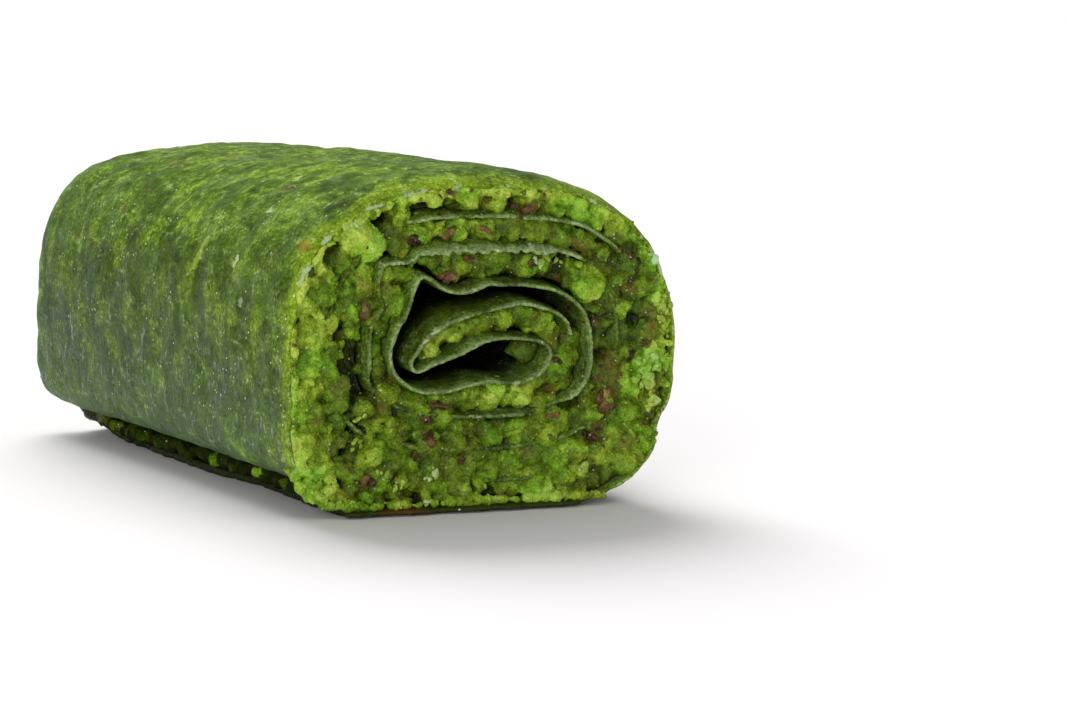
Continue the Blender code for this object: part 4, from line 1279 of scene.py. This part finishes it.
# ---------------------------------------------------------------------------------------------------------
# Nut skins.  Flakes of the thin red-brown skin round each kernel, 0.2 to 1.6 mm, that were ground in with
# the nuts and lie nearly flat in the paste of both cuts.
# A row: x, z, half length and half width in millimetres, turn in degrees, how far it stands out, tone, brown
NUT_SKINS = [
    (9.5, 7.2, 0.95, 0.75, 60, 0.75, 0.55, 0), (8.6, 4.8, 0.65, 0.5, 70, 0.45, 0.25, 0),
    (2.6, 20.9, 0.85, 0.55, 105, 0.5, 0.4, 0), (-5.6, 18.7, 0.55, 0.45, 40, 0.4, 0.3, 0),
    (-2.9, 19.1, 0.55, 0.35, 35, 0.4, 0.62, 0), (-2.9, 16.2, 0.8, 0.45, 20, 0.4, 0.55, 0),
    (-3.1, 7.2, 0.85, 0.32, -10, 0.5, 0.45, 0), (-8.9, 2.4, 0.85, 0.22, 0, 0.4, 0.35, 0),
    (-1.8, 3.5, 0.4, 0.3, 40, 0.4, 0.5, 0), (-2.9, 21.8, 0.55, 0.2, 10, 0.3, 0.5, 0),
    (11.2, 17.4, 0.85, 0.32, -58, 0.4, 0.3, 0), (-9.1, 13.7, 0.75, 0.4, 80, 0.35, 0.6, 0),
    (-4.2, 6.4, 0.5, 0.4, 30, 0.4, 0.45, 0), (-4.1, 5.3, 0.6, 0.35, 65, 0.35, 0.25, 0),
    (-5.2, 3.8, 0.5, 0.35, 0, 0.35, 0.3, 0), (2.1, 4.4, 0.45, 0.25, 30, 0.35, 0.4, 0),
    (5.4, 6.3, 0.5, 0.15, 15, 0.4, 0.7, 0), (5.7, 10.2, 0.35, 0.25, 0, 0.3, 0.3, 0),
    (7.0, 14.0, 0.4, 0.3, 60, 0.35, 0.25, 0), (12.6, 11.3, 0.35, 0.3, 20, 0.3, 0.35, 0),
    (11.3, 10.6, 0.3, 0.3, 0, 0.3, 0.15, 0), (4.0, 17.9, 0.4, 0.3, 10, 0.4, 0.75, 0),
    (3.6, 17.0, 0.5, 0.2, -35, 0.35, 0.35, 0), (-1.2, 17.4, 0.4, 0.25, 0, 0.3, 0.5, 0),
    (-0.4, 19.4, 0.4, 0.25, 0, 0.3, 0.6, 0), (8.9, 8.9, 0.4, 0.25, 20, 0.35, 0.5, 0),
]
LOOSE_SKINS = 120        # more of them at each cut, at random
# Nut skin: thin and papery, so it is dull, and mottled from dark to reddish brown.
nut_skin = nut_material("pistachio nut skin",
                        [(0.0, "#1d1305"), (0.3, "#453014"), (0.55, "#6b4c2c"), (0.8, "#876843"),
                         (1.0, "#a09150")], 0.3, (0.3, 0.65))
for side in CUTS:
    draw = np.random.default_rng(51 + side)
    rows = []
    if side < 0:
        main = np.array(NUT_SKINS, float)
        main[:, 2:4] *= 0.85
        main[:, 5] *= 0.75
        rows = np.concatenate([main, broken_up(NUT_SKINS, 3, draw)])
    stuck_pieces("nut_skins_", side, rows, 0.5, skin_shape, nut_skin, draw, 7, 0.4, LOOSE_SKINS,
                 (0.08, 0.28), (0.3, 0.8), (0.45, 0.16))


# ---------------------------------------------------------------------------------------------------------
# Pale flakes.  Scraps of dry paste and torn dough, broken into crumbs and frosted with sugar, that stand out
# of the cuts where the knife dragged them.
# Each scrap as for the nut skins, before it is broken up
PALE_FLAKES = [
    (13.3, 9.7, 0.6, 0.5, 60, 0.7, 0.55, 0), (12.8, 8.7, 0.8, 0.55, 40, 0.8, 0.6, 0),
    (13.2, 7.7, 0.7, 0.45, 80, 0.7, 0.7, 0), (12.1, 8.8, 0.5, 0.35, 20, 0.6, 0.5, 0),
    (12.3, 9.9, 0.45, 0.3, 0, 0.5, 0.4, 0), (12.9, 6.9, 0.45, 0.3, 60, 0.5, 0.5, 0),
    (14.0, 13.8, 0.7, 0.5, 50, 0.6, 0.42, 0), (13.6, 12.9, 0.4, 0.3, 0, 0.4, 0.45, 0),
    (-10.2, 19.8, 0.8, 0.18, 28, 0.6, 0.6, 0), (-4.1, 2.7, 0.55, 0.45, 20, 0.45, 0.7, 0),
    (-4.4, 0.6, 0.45, 0.28, 10, 0.5, 0.85, 0), (7.6, 2.4, 0.6, 0.28, 20, 0.6, 0.45, 0),
    (-8.2, 4.0, 0.6, 0.55, 60, 0.7, 0.3, 0), (-9.6, 4.9, 0.55, 0.4, 0, 0.6, 0.3, 0),
    (-7.6, 2.9, 0.5, 0.4, 30, 0.6, 0.35, 0), (-6.4, 2.0, 0.5, 0.3, 40, 0.5, 0.45, 0),
    (5.9, 17.1, 0.3, 0.2, 0, 0.4, 0.6, 0), (6.9, 17.6, 0.4, 0.3, 30, 0.4, 0.55, 0),
    (-11.2, 1.0, 0.5, 0.45, 60, 0.6, 0.15, 0), (-12.6, 2.6, 0.5, 0.4, 0, 0.5, 0.1, 0),
    (-3.2, 18.2, 0.5, 0.25, 40, 0.5, 0.8, 0), (4.0, 17.0, 0.45, 0.2, -40, 0.4, 0.8, 0),
    (12.9, 17.4, 0.6, 0.2, -50, 0.3, 0.8, 0), (-9.3, 6.6, 0.4, 0.3, 0, 0.5, 0.35, 0),
]
PALE_PARTS = 6           # crumbs to each of them
LOOSE_FLAKES = 70        # more of them at each cut, at random
# Sugared paste: its syrup has dried white, so it is a pale, matt green.
pale_paste = nut_material("dry sugared paste",
                          [(0.0, "#7a9624"), (0.35, "#97b13d"), (0.6, "#a9be5c"), (0.8, "#b6c681"),
                           (1.0, "#c6d1ac")], 0.2, (0.3, 0.6))
for side in CUTS:
    draw = np.random.default_rng(61 + side)
    rows = broken_up(PALE_FLAKES, PALE_PARTS, draw) if side < 0 else []
    stuck_pieces("pale_flakes_", side, rows, 0.6, skin_shape, pale_paste, draw, 4, 0.3, LOOSE_FLAKES,
                 (0.05, 0.14), (0.4, 0.9), (0.5, 0.2))


# ---------------------------------------------------------------------------------------------------------
# Crumbs under the left wall.  Where the skin turns in under the roll, paste lies open along its whole
# length: wet crumbs between the skin above and the sheet below, painted dark as the shade under the wall,
# with a few whole chips among them.
UNDER_CRUMBS = 1100
UNDER_RADII = (0.28, 0.72)             # millimetres
UNDER_X, UNDER_Y = (-12.6, -9.8), (-25.0, 20.8)
# Their left edge: y and x in millimetres
UNDER_EDGE = [(-25.0, -11.6), (-8.5, -11.1), (1.5, -11.5), (7.7, -11.9), (15.7, -11.8), (20.8, -10.9)]
UNDER_VOXEL = 0.00018
UNDER_BROWN = 0.07                     # share of them that are brown
# The chips: how far right of that edge, y, share of the height between the sheets, radius, tone and brown
CHIPS = [
    (0.1, -4.5, 0.3, 0.65, 0.52, 0.1), (0.4, -3.6, 0.2, 0.55, 0.45, 0.1), (0.0, -12.0, 0.7, 0.5, 0.72, 0),
    (-0.1, -12.7, 0.8, 0.4, 0.66, 0), (0.1, 19.4, 0.8, 0.45, 0.5, 0), (0.1, 18.2, 0.7, 0.4, 0.3, 0.6),
    (0.0, 15.6, 0.8, 0.5, 0.45, 0), (0.1, 14.4, 0.7, 0.45, 0.4, 0), (0.2, 6.5, 0.3, 0.5, 0.3, 0.2),
    (0.1, 9.6, 0.5, 0.55, 0.36, 0), (0.0, -17.5, 0.5, 0.6, 0.4, 0.1),
]
draw = np.random.default_rng(71)
wall_line = outer_section.at(np.linspace(0, hidden_arc * 1.35, 300))
edge_y, edge_x = np.array(UNDER_EDGE).T
radii = draw.uniform(*UNDER_RADII, UNDER_CRUMBS)
x, y = draw.uniform(*UNDER_X, UNDER_CRUMBS), draw.uniform(*UNDER_Y, UNDER_CRUMBS)
height = draw.uniform(0, 1, UNDER_CRUMBS)
# painted shade: the crumbs get dark tones, as they lie in the shade under the wall
tones = draw.normal(0.12, 0.10, UNDER_CRUMBS)
browns = (draw.uniform(0, 1, UNDER_CRUMBS) < UNDER_BROWN) * 0.5
chips = np.array(CHIPS)
chips[:, 0] += np.interp(chips[:, 1], edge_y, edge_x)
x, y, height, radii, tones, browns = np.append([x, y, height, radii, tones, browns], chips.T, axis=1)
roof = np.interp(-x, -wall_line[:, 0], wall_line[:, 1]) - SHEET / MM / 2 - 0.7 * radii
ground = SHEET / MM + 0.85 * radii
kept = (roof > ground) & (x > np.interp(y, edge_y, edge_x) + 0.5 * radii)
kept[UNDER_CRUMBS:] = True
level = ground + np.maximum(roof - ground, 0) * height
x, y, level, radii, tones, browns = np.stack([x, y, level, radii, tones, browns])[:, kept]
placed = bent(in_space(x, y, level) * MM)
lumps = copies("crumbs_under_wall", skin_shape, placed, random_turns(len(placed), draw),
               radii[:, None] * draw.uniform(0.75, 1.2, (len(placed), 3)) * MM, 0.2, draw, 5, 0.2)
apply_modifier(lumps, "Grown together", 'REMESH', mode='VOXEL', voxel_size=UNDER_VOXEL)
apply_modifier(lumps, "Wet together", 'SMOOTH', factor=0.5, iterations=3)
crumb = nearest(coordinates(lumps), placed)
lumps.data.shade_smooth()
# Crumbs in the shade under the wall: ground nut in syrup, painted dark as that shade and nearly black
# between the crumbs.
soaked = nut_material("pistachio crumbs in painted shade",
                      [(0.0, "#161a02"), (0.3, "#2c3606"), (0.5, "#56690f"), (0.7, "#86a028"),
                       (1.0, PASTE_BRIGHT)], 0.12, (0.5, 0.85), 0.05)
dress_filling(lumps, soaked, tones[crumb], browns[crumb])
